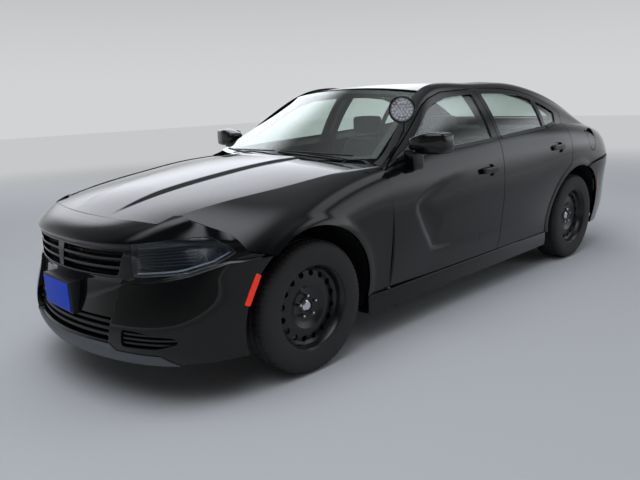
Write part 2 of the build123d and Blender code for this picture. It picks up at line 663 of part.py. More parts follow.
mesh_layer = skin_between(GRILLE_MESH_DEPTH, BUMPER_WALL)
bar_layer = skin_between(GRILLE_BAR_DEPTH, GRILLE_MESH_DEPTH + 2)
bars = [front_prism([(-520, z - GRILLE_BAR / 2), (520, z - GRILLE_BAR / 2), (520, z + GRILLE_BAR / 2),
                     (-520, z + GRILLE_BAR / 2)], 2150, 2600) for z in GRILLE_BAR_ZS]
grille_opening = front_prism(GRILLE, 2150, 2600, -SEAT_GAP)
grille = mesh_layer & grille_opening
for cross in (*bars, front_prism(GRILLE_POST, 2150, 2600)):
    grille = grille + (bar_layer & cross & grille_opening)
parts["grille"] = grille
parts["lower_grille"] = mesh_layer & front_prism(INTAKE, 2150, 2600, -SEAT_GAP)
fog_room = skin_between(0, FOG_DEPTH) & front_prism(FOG_POCKET, 2000, 2600)
slat_layer = skin_between(FOG_SLAT_DEPTH, FOG_DEPTH + 2)
for z in FOG_SLAT_ZS:
    fog_room = fog_room - (slat_layer & front_prism(
        [(FOG_NEAR_Y, z - FOG_SLAT / 2), (FOG_FAR_Y, z - FOG_SLAT / 2), (FOG_FAR_Y, z + FOG_SLAT / 2),
         (FOG_NEAR_Y, z + FOG_SLAT / 2)], 2000, 2600))
parts["front_bumper"] = front_cover - fog_room - mirrored(fog_room)

wing = wing_sheet() - front_arch - side_prism(NOSE_ZONE, SHUT_GAP / 2)
wing = wing - box(0, FIREWALL_X + SHUT_GAP, 0, 1300, 0, 2000)
wing = wing - bonnet_room - lamp_prism(HEADLAMP, SHUT_GAP)
both("front_wing", wing)

lid_rows = [(r[0], r[8] - RAIL_WIDTH - SHUT_GAP, r[9] + RAIL_RISE, r[9] + RAIL_RISE + LID_CROWN)
            for r in SIDE_ROWS[-4:]]
lid_rows[-1] = (lid_rows[-1][0], LID_TIP_HALF + 8, *lid_rows[-1][2:])
lid_rows.append((LID_TIP_X, LID_TIP_HALF, LID_TIP_Z, LID_TIP_Z + LID_CROWN))
lid_top = slab(lid_rows, LID_THICK) & plan_prism([
    plan_arc((LID_FRONT_X, -LID_ROOM), (LID_FRONT_MID_X, 0), (LID_FRONT_X, LID_ROOM)),
    plan_line((LID_FRONT_X, LID_ROOM), (TAIL_X, LID_ROOM)),
    plan_line((TAIL_X, LID_ROOM), (TAIL_X, -LID_ROOM)),
    plan_line((TAIL_X, -LID_ROOM), (LID_FRONT_X, -LID_ROOM))], 900, 1400)
tail_top = outline_block([(z, *TAIL_ROWS[-1][1:]) for z in (900, 1400)], TAIL_COLUMNS,
                         TAIL_SEAM_X, TAIL_BACK_X, TAIL_FLANK_FLARE, 0)
lid_top = lid_top & tail_top
lid_back = tail_skin & box(TAIL_X - 50, TAIL_SEAM_X, -LID_HALF, LID_HALF, BUMPER_TOP_Z + SHUT_GAP, 1060)
parts["boot_lid"] = lid_top + lid_back

# Wheels: a steel disc with a ring of vents, nuts on a bolt circle and a road tyre


def turned(profile):
    """A profile of radius and outward offset corners, turned about the wheel's axis."""
    face = Face(Wire.make_polygon([Vector(r, y, 0) for r, y in profile], close=True))
    return revolve(face, axis=Axis.Y)


RIM_R = RIM_DIAMETER / 2
HALF_RIM = RIM_WIDTH / 2
tyre = turned([(RIM_R + SEAT_GAP, -HALF_RIM + 13), (RIM_R + 19, -HALF_RIM + 10 + SEAT_GAP),
               (RIM_R + 19, -HALF_RIM), (RIM_R + 30, -TYRE_WIDTH / 2 + 4), (RIM_R + 70, -TYRE_WIDTH / 2),
               (TYRE_RADIUS - 26, -TYRE_WIDTH / 2 + 5), (TYRE_RADIUS - 6, -TYRE_WIDTH / 2 + 22),
               (TYRE_RADIUS, -TYRE_WIDTH / 2 + 52),
               (TYRE_RADIUS, TYRE_WIDTH / 2 - 52), (TYRE_RADIUS - 6, TYRE_WIDTH / 2 - 22),
               (TYRE_RADIUS - 26, TYRE_WIDTH / 2 - 5), (RIM_R + 70, TYRE_WIDTH / 2),
               (RIM_R + 30, TYRE_WIDTH / 2 - 4), (RIM_R + 19, HALF_RIM),
               (RIM_R + 19, HALF_RIM - 10 - SEAT_GAP), (RIM_R + SEAT_GAP, HALF_RIM - 13)])
rim = turned([(HUB_BORE, DISC_FACE - 14), (78, DISC_FACE - 14), (120, DISC_FACE - 6), (150, DISC_FACE + 14),
              (172, DISC_FACE + 12), (RIM_R - 24, DISC_FACE - 24), (RIM_R - 24, -HALF_RIM + 16),
              (RIM_R - 10, -HALF_RIM), (RIM_R + 18, -HALF_RIM), (RIM_R + 18, -HALF_RIM + 10),
              (RIM_R, -HALF_RIM + 12), (RIM_R, HALF_RIM - 12), (RIM_R + 18, HALF_RIM - 10),
              (RIM_R + 18, HALF_RIM), (RIM_R - 10, HALF_RIM), (RIM_R - 14, DISC_FACE - 10),
              (172, DISC_FACE + 26), (150, DISC_FACE + 28),
              (118, DISC_FACE + 6), (78, DISC_FACE), (HUB_BORE, DISC_FACE)])
for n in range(VENT_COUNT):
    a = radians(360 / VENT_COUNT * n)
    rim = rim - Pos(VENT_CIRCLE / 2 * cos(a), DISC_FACE, VENT_CIRCLE / 2 * sin(a)) * Rot(90, 0, 0) * Cylinder(
        VENT_RADIUS, 160)
for n in range(LUG_COUNT):
    a = radians(360 / LUG_COUNT * n + 90)
    rim = rim + Pos(LUG_CIRCLE / 2 * cos(a), DISC_FACE + LUG_LENGTH / 2 - 2, LUG_CIRCLE / 2 * sin(a)) * Rot(
        90, 0, 0) * Cylinder(LUG_RADIUS, LUG_LENGTH)
for axle, x, y in (("front", FRONT_AXLE_X, FRONT_WHEEL_Y), ("rear", REAR_AXLE_X, REAR_WHEEL_Y)):
    both(f"{axle}_tyre", Pos(x, y, AXLE_Z) * tyre)
    both(f"{axle}_wheel", Pos(x, y, AXLE_Z) * rim)

# Knuckles and axles: each wheel's bore runs on a spindle, and each knuckle turns on two pins
upright = box(FRONT_AXLE_X - 36, FRONT_AXLE_X + 36, KINGPIN_Y - 32, KINGPIN_Y + 24, AXLE_Z - KNUCKLE_HALF,
              AXLE_Z + KNUCKLE_HALF)
upright = upright + across(FRONT_AXLE_X, AXLE_Z, HUB_RADIUS, KINGPIN_Y - 25,
                           FRONT_WHEEL_Y + DISC_FACE - 14 - RUNNING_GAP)
upright = upright + box(FRONT_AXLE_X - 130, FRONT_AXLE_X, KINGPIN_Y - 25, KINGPIN_Y + 5,
                        AXLE_Z - 40, AXLE_Z - 5)
upright = upright + across(FRONT_AXLE_X, AXLE_Z, HUB_BORE - SPINDLE_CLEARANCE, KINGPIN_Y,
                           FRONT_WHEEL_Y + DISC_FACE + 4)
for end_z in (AXLE_Z - KNUCKLE_HALF, AXLE_Z + KNUCKLE_HALF):
    upright = upright - Pos(FRONT_AXLE_X, KINGPIN_Y, end_z) * Cylinder(KINGPIN_R, 2 * PIN_REACH + 4)
both("front_knuckle", upright)

rear_beam = across(REAR_AXLE_X, AXLE_Z, 45, -REAR_WHEEL_Y + 120, REAR_WHEEL_Y - 120)
rear_beam = rear_beam + box(REAR_AXLE_X - 150, REAR_AXLE_X + 150, -140, 140, AXLE_Z - 110, AXLE_Z + 90)
for side in (-1, 1):
    y0, y1 = sorted((side * (REAR_WHEEL_Y - 150), side * (REAR_WHEEL_Y + DISC_FACE - 14 - RUNNING_GAP)))
    rear_beam = rear_beam + across(REAR_AXLE_X, AXLE_Z, HUB_RADIUS, y0, y1)
    y0, y1 = sorted((side * (REAR_WHEEL_Y - 60), side * (REAR_WHEEL_Y + DISC_FACE + 4)))
    rear_beam = rear_beam + across(REAR_AXLE_X, AXLE_Z, HUB_BORE - SPINDLE_CLEARANCE, y0, y1)
    y0, y1 = sorted((side * 380, side * 440))
    rear_beam = rear_beam + box(REAR_AXLE_X - 60, REAR_FLOOR_X - SHEET, y0, y1, AXLE_Z - 60, AXLE_Z + 10)
parts["rear_axle"] = rear_beam

# Floor, bulkhead and boot floor as one pressing, trimmed to the side walls
pan = box(REAR_FLOOR_X, FIREWALL_X, -FLOOR_HALF, FLOOR_HALF, FLOOR_Z, FLOOR_Z + SHEET)
pan = pan + box(FIREWALL_X - SHEET, FIREWALL_X, -FLOOR_HALF, FLOOR_HALF, FLOOR_Z, COWL_Z - SHEET)
pan = pan + box(REAR_FLOOR_X - SHEET, REAR_FLOOR_X, -FLOOR_HALF, FLOOR_HALF, FLOOR_Z, BOOT_FLOOR_Z + SHEET)
pan = pan + box(BOOT_END_X, REAR_FLOOR_X, -BOOT_HALF, BOOT_HALF, BOOT_FLOOR_Z, BOOT_FLOOR_Z + SHEET)
pan = pan + box(SHELF_X0, SHELF_X1, -SHELF_HALF, SHELF_HALF, SHELF_Z - SHEET, SHELF_Z)
pan = pan + box(SHELF_X1 - SHEET, SHELF_X1, -BOOT_HALF, BOOT_HALF, BOOT_FLOOR_Z, SHELF_Z)
pan = pan + box(REAR_SEAT[0][0] + 20, FIREWALL_X, -CONSOLE_HALF, CONSOLE_HALF, FLOOR_Z, TUNNEL_Z)
parts["floor"] = pan - wall - mirrored(wall)

# Wheel houses: an arched liner with an inner wall over each wheel


def liner(x, inner_y, outer_y):
    """A half-round liner over the wheel at x, closed on its inner side."""
    drum = across(x, AXLE_Z, LINER_R + LINER, inner_y - LINER, outer_y)
    drum = drum - across(x, AXLE_Z, LINER_R, inner_y, outer_y + 1)
    return drum & box(x - 600, x + 600, 0, 1300, LINER_FOOT_Z, 1200)


front_liner = liner(FRONT_AXLE_X, LINER_FRONT_Y, LINER_OUTER_Y) - side_prism(NOSE_ZONE, SHUT_GAP)
front_liner = front_liner - parts["front_wing_left"]
front_liner = front_liner - box(FRONT_AXLE_X - 130, FRONT_AXLE_X + 130, 0, LINER_FRONT_Y + 40, 0,
                                AXLE_Z + KNUCKLE_HALF + 60)
front_liner = front_liner.solids().sort_by(SortBy.VOLUME)[-1]
rear_liner = liner(REAR_AXLE_X, BOOT_HALF + LINER, LINER_OUTER_Y) - parts["body_side_left"] - parts["floor"]
rear_liner = rear_liner - parts["rear_bumper"] - box(REAR_FLOOR_X - SHEET, 0, 0, 1300, 0, 1300)
rear_liner = rear_liner - across(REAR_AXLE_X, AXLE_Z, 75, 500, 760)
rear_liner = rear_liner.solids().sort_by(SortBy.VOLUME)[-1]
parts["wheel_liners"] = Compound([s for half in (front_liner, rear_liner) for piece in (half, mirrored(half))
                                  for s in piece.solids()])

# Front frame: rails, crossmember, wishbones, bumper brackets and the knuckle pins
nose_core = nose_block(BUMPER_WALL + SEAT_GAP, 1)
frame = None
for side in (-1, 1):
    y0, y1 = sorted((side * RAIL_Y0, side * (LINER_FRONT_Y - LINER)))
    pieces = [box(FIREWALL_X, RADIATOR_X, y0, y1, FRAME_Z, FRAME_Z + FRAME_HIGH)]
    pieces.append(box(FRONT_AXLE_X - 105, FRONT_AXLE_X + 105, y0, y1, 205, FRAME_Z))
    lower_z = AXLE_Z - KNUCKLE_HALF - RUNNING_GAP - ARM
    upper_z = AXLE_Z + KNUCKLE_HALF + RUNNING_GAP
    for z in (lower_z, upper_z):
        arm = [Vector(FRONT_AXLE_X + dx, side * y, z) for dx, y in (
            (-100, RAIL_Y0), (100, RAIL_Y0), (24, KINGPIN_Y - 40), (24, KINGPIN_Y + 24),
            (-24, KINGPIN_Y + 24), (-24, KINGPIN_Y - 40))]
        pieces.append(extrude(Face(Wire.make_polygon(arm, close=True)), amount=ARM, dir=(0, 0, 1)))
        pin_z = z + ARM if z == lower_z else z
        pieces.append(Pos(FRONT_AXLE_X, side * KINGPIN_Y, pin_z) * Cylinder(
            KINGPIN_R - SPINDLE_CLEARANCE, 2 * PIN_REACH))
    for piece in pieces:
        frame = piece if frame is None else frame + piece
frame = frame + box(FRONT_AXLE_X - 105, FRONT_AXLE_X + 105, -RAIL_Y0, RAIL_Y0, 205, 265)
frame = frame + box(RADIATOR_X - 40, RADIATOR_X, -RADIATOR_HALF, RADIATOR_HALF, 260, RADIATOR_TOP)
for side in (-1, 1):
    frame = frame + (box(RADIATOR_X - 20, NOSE_X, side * 300 - 30, side * 300 + 30, 470, 560) & nose_core)
    stop = Pos(RADIATOR_X - 20, side * STOP_Y, 0) * Pos(0, 0, 790) * Cylinder(14, 400)
    frame = frame + (stop - slab([(x, h, e + 260, c + 260) for x, h, e, c in bonnet_rows],
                                 BONNET_THICK + 260 + SEAT_GAP))
parts["front_frame"] = frame
engine = box(ENGINE_X0, ENGINE_X1, -ENGINE_HALF, ENGINE_HALF, 330, 560)
engine = engine + box(ENGINE_X0 + 30, ENGINE_X1 - 60, -ENGINE_HALF - 40, ENGINE_HALF + 40, 560, ENGINE_TOP)
engine = engine + box(ENGINE_X0 + 200, ENGINE_X0 + 300, -RAIL_Y0, RAIL_Y0, 440, 500)
parts["engine"] = engine

# Exhaust: two pipes with a silencer each, on hangers
exhaust = []
for y in (-EXHAUST_Y, EXHAUST_Y):
    pipe = Pos((EXHAUST_X0 + EXHAUST_X1) / 2, y, EXHAUST_Z) * Rot(0, 90, 0) * Cylinder(
        EXHAUST_R, EXHAUST_X1 - EXHAUST_X0)
    pipe = pipe + box(SILENCER_X - 220, SILENCER_X + 120, y - 130, y + 130, EXHAUST_Z - 30, EXHAUST_Z + 120)
    pipe = pipe + box(SILENCER_X - 60, SILENCER_X, y - 15, y + 15, EXHAUST_Z + 100, BOOT_FLOOR_Z)
    pipe = pipe + box(200, 260, y - 15, y + 15, EXHAUST_Z, FLOOR_Z)
    exhaust.extend(pipe.solids())
parts["exhaust"] = Compound(exhaust)

# Cabin: dashboard, steering wheel, seats
dash = side_prism(DASH_PROFILE, 0, -DASH_HALF, DASH_HALF)
dash = dash + box(100, 720, -CONSOLE_HALF, CONSOLE_HALF, TUNNEL_Z, 560)
dash = dash + box(640, 720, -CONSOLE_HALF, CONSOLE_HALF, 500, 720)
parts["dashboard"] = dash
wheel_plane = Plane(origin=(STEER_X, STEER_Y, STEER_Z),
                    z_dir=(-cos(radians(STEER_LEAN)), 0, sin(radians(STEER_LEAN))))
helm = wheel_plane * Torus(STEER_R, 15) + wheel_plane * Pos(0, 0, -30) * Cylinder(58, 55)
helm = helm + wheel_plane * Pos(0, 0, -12) * Box(40, 2 * STEER_R, 16) + wheel_plane * Pos(
    STEER_R / 2, 0, -12) * Box(STEER_R, 40, 16)
helm = helm + wheel_plane * Pos(0, 0, -170) * Cylinder(34, 260)
parts["steering_wheel"] = helm - parts["dashboard"]
seats = [side_prism(FRONT_SEAT, 0, y - SEAT_HALF, y + SEAT_HALF) for y in (-SEAT_Y, SEAT_Y)]
parts["front_seats"] = Compound([s for seat in seats for s in seat.solids()])
parts["rear_bench"] = side_prism(REAR_SEAT, 0, -BENCH_HALF, BENCH_HALF)

# Outside fittings: cowl, mirrors, spotlight, lamps, side markers and the front plate
cowl_edge_x = BONNET_REAR[0] - SHUT_GAP
cowl_half = BONNET_REAR[1]
cowl = plan_prism([
    plan_arc((cowl_edge_x, -cowl_half), (BONNET_REAR[2] - SHUT_GAP, 0), (cowl_edge_x, cowl_half)),
    plan_line((cowl_edge_x, cowl_half), (COWL_BACK_X, cowl_half)),
    plan_line((COWL_BACK_X, cowl_half), (COWL_BACK_X, -cowl_half)),
    plan_line((COWL_BACK_X, -cowl_half), (cowl_edge_x, -cowl_half))], COWL_Z - SHEET, COWL_Z)
for piece in (wall, parts["front_wing_left"], parts["front_door_left"]):
    cowl = cowl - piece - mirrored(piece)
cowl = cowl - parts["windshield"]
parts["cowl"] = cowl.solids().sort_by(SortBy.VOLUME)[-1] if len(cowl.solids()) > 1 else cowl

housing = Pos(MIRROR_X, MIRROR_Y, MIRROR_Z) * Box(110, 175, 125)
housing = fillet(housing.edges(), 38)
housing = housing + Pos(MIRROR_X + 12, MIRROR_Y - 110, MIRROR_Z - 45) * Box(46, 130, 30)
both("mirror", housing - parts["front_door_left"] - panes([FRONT_WINDOW]))

lamp_axis = Plane(origin=(SPOT_X, SPOT_Y, SPOT_Z),
                  z_dir=(cos(radians(SPOT_FACING)), sin(radians(SPOT_FACING)), 0))
spot = lamp_axis * Cylinder(SPOT_R, SPOT_DEPTH) + lamp_axis * Pos(0, 0, -SPOT_DEPTH / 2) * Sphere(SPOT_R - 12)
spot = spot + Pos(SPOT_X, SPOT_Y, SPOT_Z - SPOT_R - 8) * Cylinder(16, 40)
spot = spot - Pos(SPOT_X, SPOT_Y, SPOT_Z - SPOT_R - 28) * Cylinder(SPOT_PIN_R, 40)
parts["spotlight"] = spot
stem = Pos(SPOT_X, SPOT_Y, SPOT_Z - SPOT_R - 46) * Cylinder(SPOT_PIN_R - SPINDLE_CLEARANCE, 70)
stem = stem + Pos(SPOT_X, SPOT_Y, SPOT_Z - SPOT_R - 90) * Sphere(22)
foot = Vector(*SPOT_FOOT)
top = Vector(SPOT_X, SPOT_Y, SPOT_Z - SPOT_R - 90)
shaft = Solid.make_cylinder(SPOT_STEM_R, (foot - top).length,
                            Plane(origin=tuple(top), z_dir=tuple((foot - top).normalized())))
stem = stem + shaft - parts["body_side_left"]
parts["spotlight_stem"] = stem.solids().sort_by(SortBy.VOLUME)[-1]


def tail_layer(outer, inner):
    """The tail surface's layer between two depths."""
    return tail_block(outer) - tail_block(inner, 1)


tail_lens = tail_layer(0, TAIL_LAMP_DEPTH)
outer_lamp = front_prism(TAIL_LAMP_OUTER, TAIL_X - 60, TAIL_LAMP_X)
mid_lamp = front_prism(TAIL_LAMP_MID, TAIL_X - 60, TAIL_LAMP_X)
tail_lamp = tail_lens & front_prism(TAIL_LAMP_OUTER, TAIL_X - 60, TAIL_LAMP_X, -SEAT_GAP)
parts["tail_lamps"] = Compound([s for lamp in (tail_lamp, mirrored(tail_lamp)) for s in lamp.solids()])
parts["lid_lamp"] = tail_lens & front_prism(TAIL_LAMP_MID, TAIL_X - 60, TAIL_LAMP_X, -SEAT_GAP)
parts["body_side_left"] = parts["body_side_left"] - (tail_lens & outer_lamp)
parts["body_side_right"] = parts["body_side_right"] - (tail_lens & mirrored(outer_lamp))
parts["boot_lid"] = parts["boot_lid"] - (tail_lens & mid_lamp)
for y in (-LID_STOP_Y, LID_STOP_Y):
    parts["rear_bumper"] = parts["rear_bumper"] + box(
        LID_STOP_X, LID_STOP_X + 20, y - 20, y + 20, BUMPER_TOP_Z - 20, BUMPER_TOP_Z + SHUT_GAP - SEAT_GAP)

marker = lamp_skin & side_prism(FRONT_MARKER, -SEAT_GAP)
marker_hole = side_prism(FRONT_MARKER)
parts["front_bumper"] = parts["front_bumper"] - marker_hole - mirrored(marker_hole)
parts["front_markers"] = Compound([s for m in (marker, mirrored(marker)) for s in m.solids()])
marker = tail_lens & side_prism(REAR_MARKER, -SEAT_GAP)
parts["rear_bumper"] = parts["rear_bumper"] - (tail_lens & side_prism(REAR_MARKER, 0, -1250, 1250))
parts["rear_markers"] = Compound([s for m in (marker, mirrored(marker)) for s in m.solids()])
plate = box(PLATE_X - 60, PLATE_X - 3, -162, 162, PLATE_Z - 84, PLATE_Z + 84) + box(
    PLATE_X - 3, PLATE_X, -PLATE_HALF, PLATE_HALF, PLATE_Z - 76, PLATE_Z + 76)
parts["front_plate"] = plate - nose_block(0)


if __name__ == "__main__":
    os.makedirs("parts", exist_ok=True)
    for name, shape in parts.items():
        export_step(shape, f"parts/{name}.step")
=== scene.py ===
"""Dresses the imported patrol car: smooth body panels, glass, lamps, wheels, cabin and a plain studio."""

import math
from functools import partial

import bpy
import numpy as np
from bpy.props import FloatProperty, FloatVectorProperty, IntProperty, PointerProperty
from mathutils import Matrix, Vector


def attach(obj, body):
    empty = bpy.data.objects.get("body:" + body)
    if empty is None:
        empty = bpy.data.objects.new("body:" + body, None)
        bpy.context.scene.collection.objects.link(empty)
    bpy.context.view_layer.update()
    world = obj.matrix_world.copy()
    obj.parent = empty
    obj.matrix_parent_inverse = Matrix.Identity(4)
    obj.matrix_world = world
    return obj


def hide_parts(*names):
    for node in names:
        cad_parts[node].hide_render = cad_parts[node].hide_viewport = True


bl_info = {
    "name": "Patrol car dressing",
    "version": (1, 0, 0),
    "blender": (4, 5, 0),
    "location": "View3D > Sidebar > Patrol car",
    "description": "Models the looks of a four-door patrol car on its packed frame",
    "category": "Object",
}

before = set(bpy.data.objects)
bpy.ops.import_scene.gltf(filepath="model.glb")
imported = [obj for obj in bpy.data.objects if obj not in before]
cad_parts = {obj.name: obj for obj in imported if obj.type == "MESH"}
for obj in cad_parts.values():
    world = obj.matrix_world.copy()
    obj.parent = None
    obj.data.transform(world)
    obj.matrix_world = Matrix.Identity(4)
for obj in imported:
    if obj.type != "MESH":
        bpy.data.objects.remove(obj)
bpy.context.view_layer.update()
MM = 0.001

# Sections of the body side: x, rocker y, waist y and z, shoulder y and z, belt y and z, rail y and z
SIDE_ROWS = np.array((
    (2130, 820, 850, 700, 700, 835, 640, 880, 620, 890),
    (1900, 870, 925, 740, 790, 868, 720, 930, 700, 935),
    (1555, 885, 950, 790, 852, 925, 790, 975, 770, 985),
    (1250, 885, 938, 780, 875, 960, 830, 1000, 810, 1010),
    (930, 880, 930, 770, 884, 985, 858, 1008, 838, 1030),
    (600, 885, 930, 765, 886, 1005, 858, 1062, 742, 1217),
    (246, 888, 931, 765, 888, 1022, 860, 1082, 634, 1432),
    (-300, 892, 935, 770, 892, 1048, 862, 1108, 618, 1480),
    (-900, 900, 945, 790, 896, 1078, 852, 1138, 622, 1472),
    (-1300, 905, 953, 820, 895, 1092, 828, 1150, 642, 1408),
    (-1650, 900, 952, 830, 872, 1090, 790, 1140, 672, 1298),
    (-1950, 880, 935, 830, 835, 1075, 752, 1110, 700, 1160),
    (-2180, 850, 898, 815, 785, 1050, 715, 1078, 692, 1090),
    (-2340, 792, 806, 790, 700, 1032, 662, 1053, 650, 1064),
    (-2410, 706, 712, 780, 596, 1026, 566, 1046, 556, 1058),
), float)
# Front wing edge along the bonnet: x, y, z
WING_EDGE = np.array(((930, 800, 1030), (1250, 772, 1018), (1555, 736, 985), (1900, 662, 945),
                      (2130, 606, 905)), float)
# Nose and tail outlines by height: z, centre x, brow x and y, corner x and y, flank y
NOSE_ROWS = np.array((
    (228, 2486, 2425, 430, 2235, 770, 893), (300, 2520, 2455, 430, 2255, 785, 900),
    (500, 2488, 2425, 440, 2240, 790, 914), (630, 2478, 2392, 455, 2195, 775, 915),
    (775, 2460, 2360, 505, 2105, 765, 905), (860, 2384, 2262, 565, 2062, 722, 832),
    (897, 2292, 2182, 590, 2026, 700, 782), (908, 2262, 2146, 597, 2002, 690, 756)), float)
TAIL_ROWS = np.array((
    (230, -2440, -2410, 500, -2290, 760, 832), (330, -2512, -2478, 520, -2330, 790, 858),
    (560, -2520, -2482, 540, -2340, 800, 882), (700, -2508, -2470, 540, -2335, 800, 894),
    (860, -2496, -2456, 540, -2325, 785, 892), (1060, -2484, -2440, 520, -2310, 690, 778)), float)
# Seam x, back x and flare of the flanks, and where the points of the plan lie along t
NOSE_PLAN = (1990.0, 1790.0, 22.0)
TAIL_PLAN = (-2180.0, -1640.0, 66.0)
NOSE_KNOTS = (0.0, 0.336, 0.636, 0.848, 1.0)
TAIL_KNOTS = (0.0, 0.347, 0.545, 0.651, 1.0)
# Roof: x, half width, edge z and centre z
ROOF_ROWS = np.array(((240, 582, 1446, 1480), (0, 567, 1478, 1502), (-350, 566, 1492, 1510),
                      (-750, 567, 1490, 1505), (-1090, 578, 1458, 1482)), float)
# Bonnet and boot lid: x, half width, edge z and crown
BONNET_ROWS = np.array(((930, 794, 1030, 46), (1250, 766, 1018, 50), (1555, 730, 985, 54),
                        (1900, 656, 945, 44), (2130, 600, 905, 34), (2360, 545, 846, 20)), float)
LID_ROWS = np.array(((-1950, 644, 1172, 16), (-2180, 636, 1102, 18), (-2340, 596, 1077, 20),
                     (-2486, 520, 1078, 20)), float)
# Screens: edge x, half width, edge z, centre x and centre z
WINDSHIELD_ROWS = np.array(((884, 774, 1066, 1062, 1048), (600, 691.6, 1227, 716, 1252),
                            (262, 588.5, 1432, 334, 1470)), float)
BACKLIGHT_ROWS = np.array(((-1100, 581.6, 1450, -1120, 1480), (-1300, 591.6, 1418, -1335, 1442),
                           (-1650, 621.6, 1308, -1705, 1316), (-1935, 648, 1177, -2010, 1174)), float)

# Outlines: x, z corners in the side view, sideways and z corners in the front and lamp views
FRONT_DOOR = ((918, 310), (922, 1000), (868, 1030), (600, 1180), (330, 1348), (230, 1392), (80, 1428),
              (-329, 1447), (-287, 310))
REAR_DOOR = ((-293, 310), (-335, 1447), (-640, 1444), (-900, 1424), (-1130, 1374), (-1330, 1296),
             (-1432, 1232), (-1395, 1170), (-1350, 1080), (-1336, 820), (-1336, 310))
FRONT_WINDOW = ((796, 1062), (590, 1150), (320, 1316), (220, 1358), (60, 1393), (-268, 1411), (-246, 1104))
REAR_WINDOW = ((-362, 1112), (-388, 1411), (-640, 1407), (-900, 1386), (-1040, 1352), (-1022, 1142))
QUARTER_WINDOW = ((-1072, 1146), (-1088, 1338), (-1200, 1298), (-1322, 1240), (-1268, 1166))
REAR_BUMPER_ZONE = ((-1600, 100), (-1600, 760), (-1795, 794), (-2180, 838), (-2440, 868), (-2600, 868),
                    (-2600, 100))
NOSE_ZONE = ((1700, 100), (1790, 690), (1958, 742), (2010, 830), (2120, 900), (2700, 960), (2700, 100))
SCALLOP = ((41, 952), (380, 900), (640, 830), (715, 760), (690, 690), (644, 610), (560, 490), (517, 455),
           (400, 446), (136, 444), (-300, 446), (-640, 450))
FRONT_MARKER = ((1903, 620), (1930, 638), (2002, 492), (1974, 479))
REAR_MARKER = ((-1846, 690), (-1872, 704), (-1944, 548), (-1918, 530))
HEADLAMP = ((-1100, 791), (-905, 806), (-730, 812), (-640, 775), (-610, 748), (-700, 700), (-841, 660),
            (-1099, 642))
GRILLE = ((-505, 770), (505, 770), (456, 632), (-456, 632))
INTAKE = ((-455, 440), (455, 440), (425, 325), (-425, 325))
FOG = ((520, 404), (600, 402), (768, 376), (772, 348), (690, 322), (515, 320))
TAIL_LAMP = ((515, 890), (720, 890), (735, 940), (715, 985), (515, 985))
MID_LAMP = ((-488, 890), (488, 890), (488, 985), (-488, 985))

SIDE_VIEW = (Vector((1, 0, 0)), Vector((0, 0, 1)), Vector((0, 1, 0)))
FRONT_VIEW = (Vector((0, 1, 0)), Vector((0, 0, 1)), Vector((1, 0, 0)))
PLAN_VIEW = (Vector((1, 0, 0)), Vector((0, 1, 0)), Vector((0, 0, 1)))
LAMP_ANGLE = math.radians(40)
LAMP_VIEW = (Vector((-math.sin(LAMP_ANGLE), math.cos(LAMP_ANGLE), 0)), Vector((0, 0, 1)),
             Vector((math.cos(LAMP_ANGLE), math.sin(LAMP_ANGLE), 0)))
FRONT_AXLE = (1555.0, 358.0)
REAR_AXLE = (-1498.0, 358.0)
ARCH_RADIUS = 442.0
ARCH_DOOR_RADIUS = 490.0
ARCH_FLARE = 7.0
ROCKER_Z = 300.0
FILLER = (-1767.5, 985.0)
FILLER_LEAN = math.radians(14)
FLAP_EDGE_X = -1704.0
PLATE_POCKET = ((-190, 545), (190, 545), (190, 705), (-190, 705))
# How far the cutting tools reach along their view
BODY_REACH = (200, 1300)
DOOR_REACH = (300, 1300)
BOTH_SIDES = (-1300, 1300)
NOSE_REACH = (2000, 2700)
TAIL_REACH = (-2700, -2100)
LAMP_REACH = (1200, 3200)

UP = Vector((0, 0, 1))
SIDEWAYS = Vector((0, 1, 0))
SIDES = ("left", "right")
VENTS, VENT_RING = 16, 178
NUTS, NUT_RING = 5, 57.5
FRONT_WHEEL_Y, REAR_WHEEL_Y = 806, 810
# The camera fitted to the photograph: focal length and shift in pixels, angles in degrees, place in mm
PICTURE_WIDTH = 640
SENSOR_WIDTH = 36.0
FOCAL_PIXELS = 619.88
SHIFT_PIXELS = (-17.28, 6.55)
CAMERA_ANGLES = (225.005, -13.515, -2.078)
CAMERA_PLACE = (3635.7, 3173.9, 1421.3)


# Curves and surfaces


def spline(knots, values, at):
    """A smooth curve through a table: its values at each place asked for."""
    knots, values, at = np.asarray(knots, float), np.asarray(values, float), np.asarray(at, float)
    if knots[0] > knots[-1]:
        knots, values = knots[::-1], values[::-1]
    flat = values.reshape(len(knots), -1)
    gap = np.diff(knots)
    system = np.eye(len(knots))
    right = np.zeros_like(flat)
    for i in range(1, len(knots) - 1):
        system[i, i - 1:i + 2] = gap[i - 1], 2 * (gap[i - 1] + gap[i]), gap[i]
        right[i] = 6 * ((flat[i + 1] - flat[i]) / gap[i] - (flat[i] - flat[i - 1]) / gap[i - 1])
    bend = np.linalg.solve(system, right)
    i = np.clip(np.searchsorted(knots, at) - 1, 0, len(knots) - 2)
    a, b = (knots[i + 1] - at)[:, None], (at - knots[i])[:, None]
    h = gap[i][:, None]
    out = (bend[i] * a ** 3 + bend[i + 1] * b ** 3) / (6 * h)
    out += (flat[i] / h - bend[i] * h / 6) * a + (flat[i + 1] / h - bend[i + 1] * h / 6) * b
    return out.reshape(len(at), *values.shape[1:])


def ease(value, low, high):
    """A smooth step from 0 to 1."""
    t = np.clip((value - low) / (high - low), 0, 1)
    return t * t * (3 - 2 * t)


def cubic(points, knots, at):
    """The cubic through four points of a section, at each v."""
    weights = []
    for j in range(4):
        w = np.ones_like(at)
        for k in range(4):
            if k != j:
                w = w * (at - knots[k]) / (knots[j] - knots[k])
        weights.append(w)
    return np.einsum("jv,jud->uvd", np.array(weights), np.array(points))


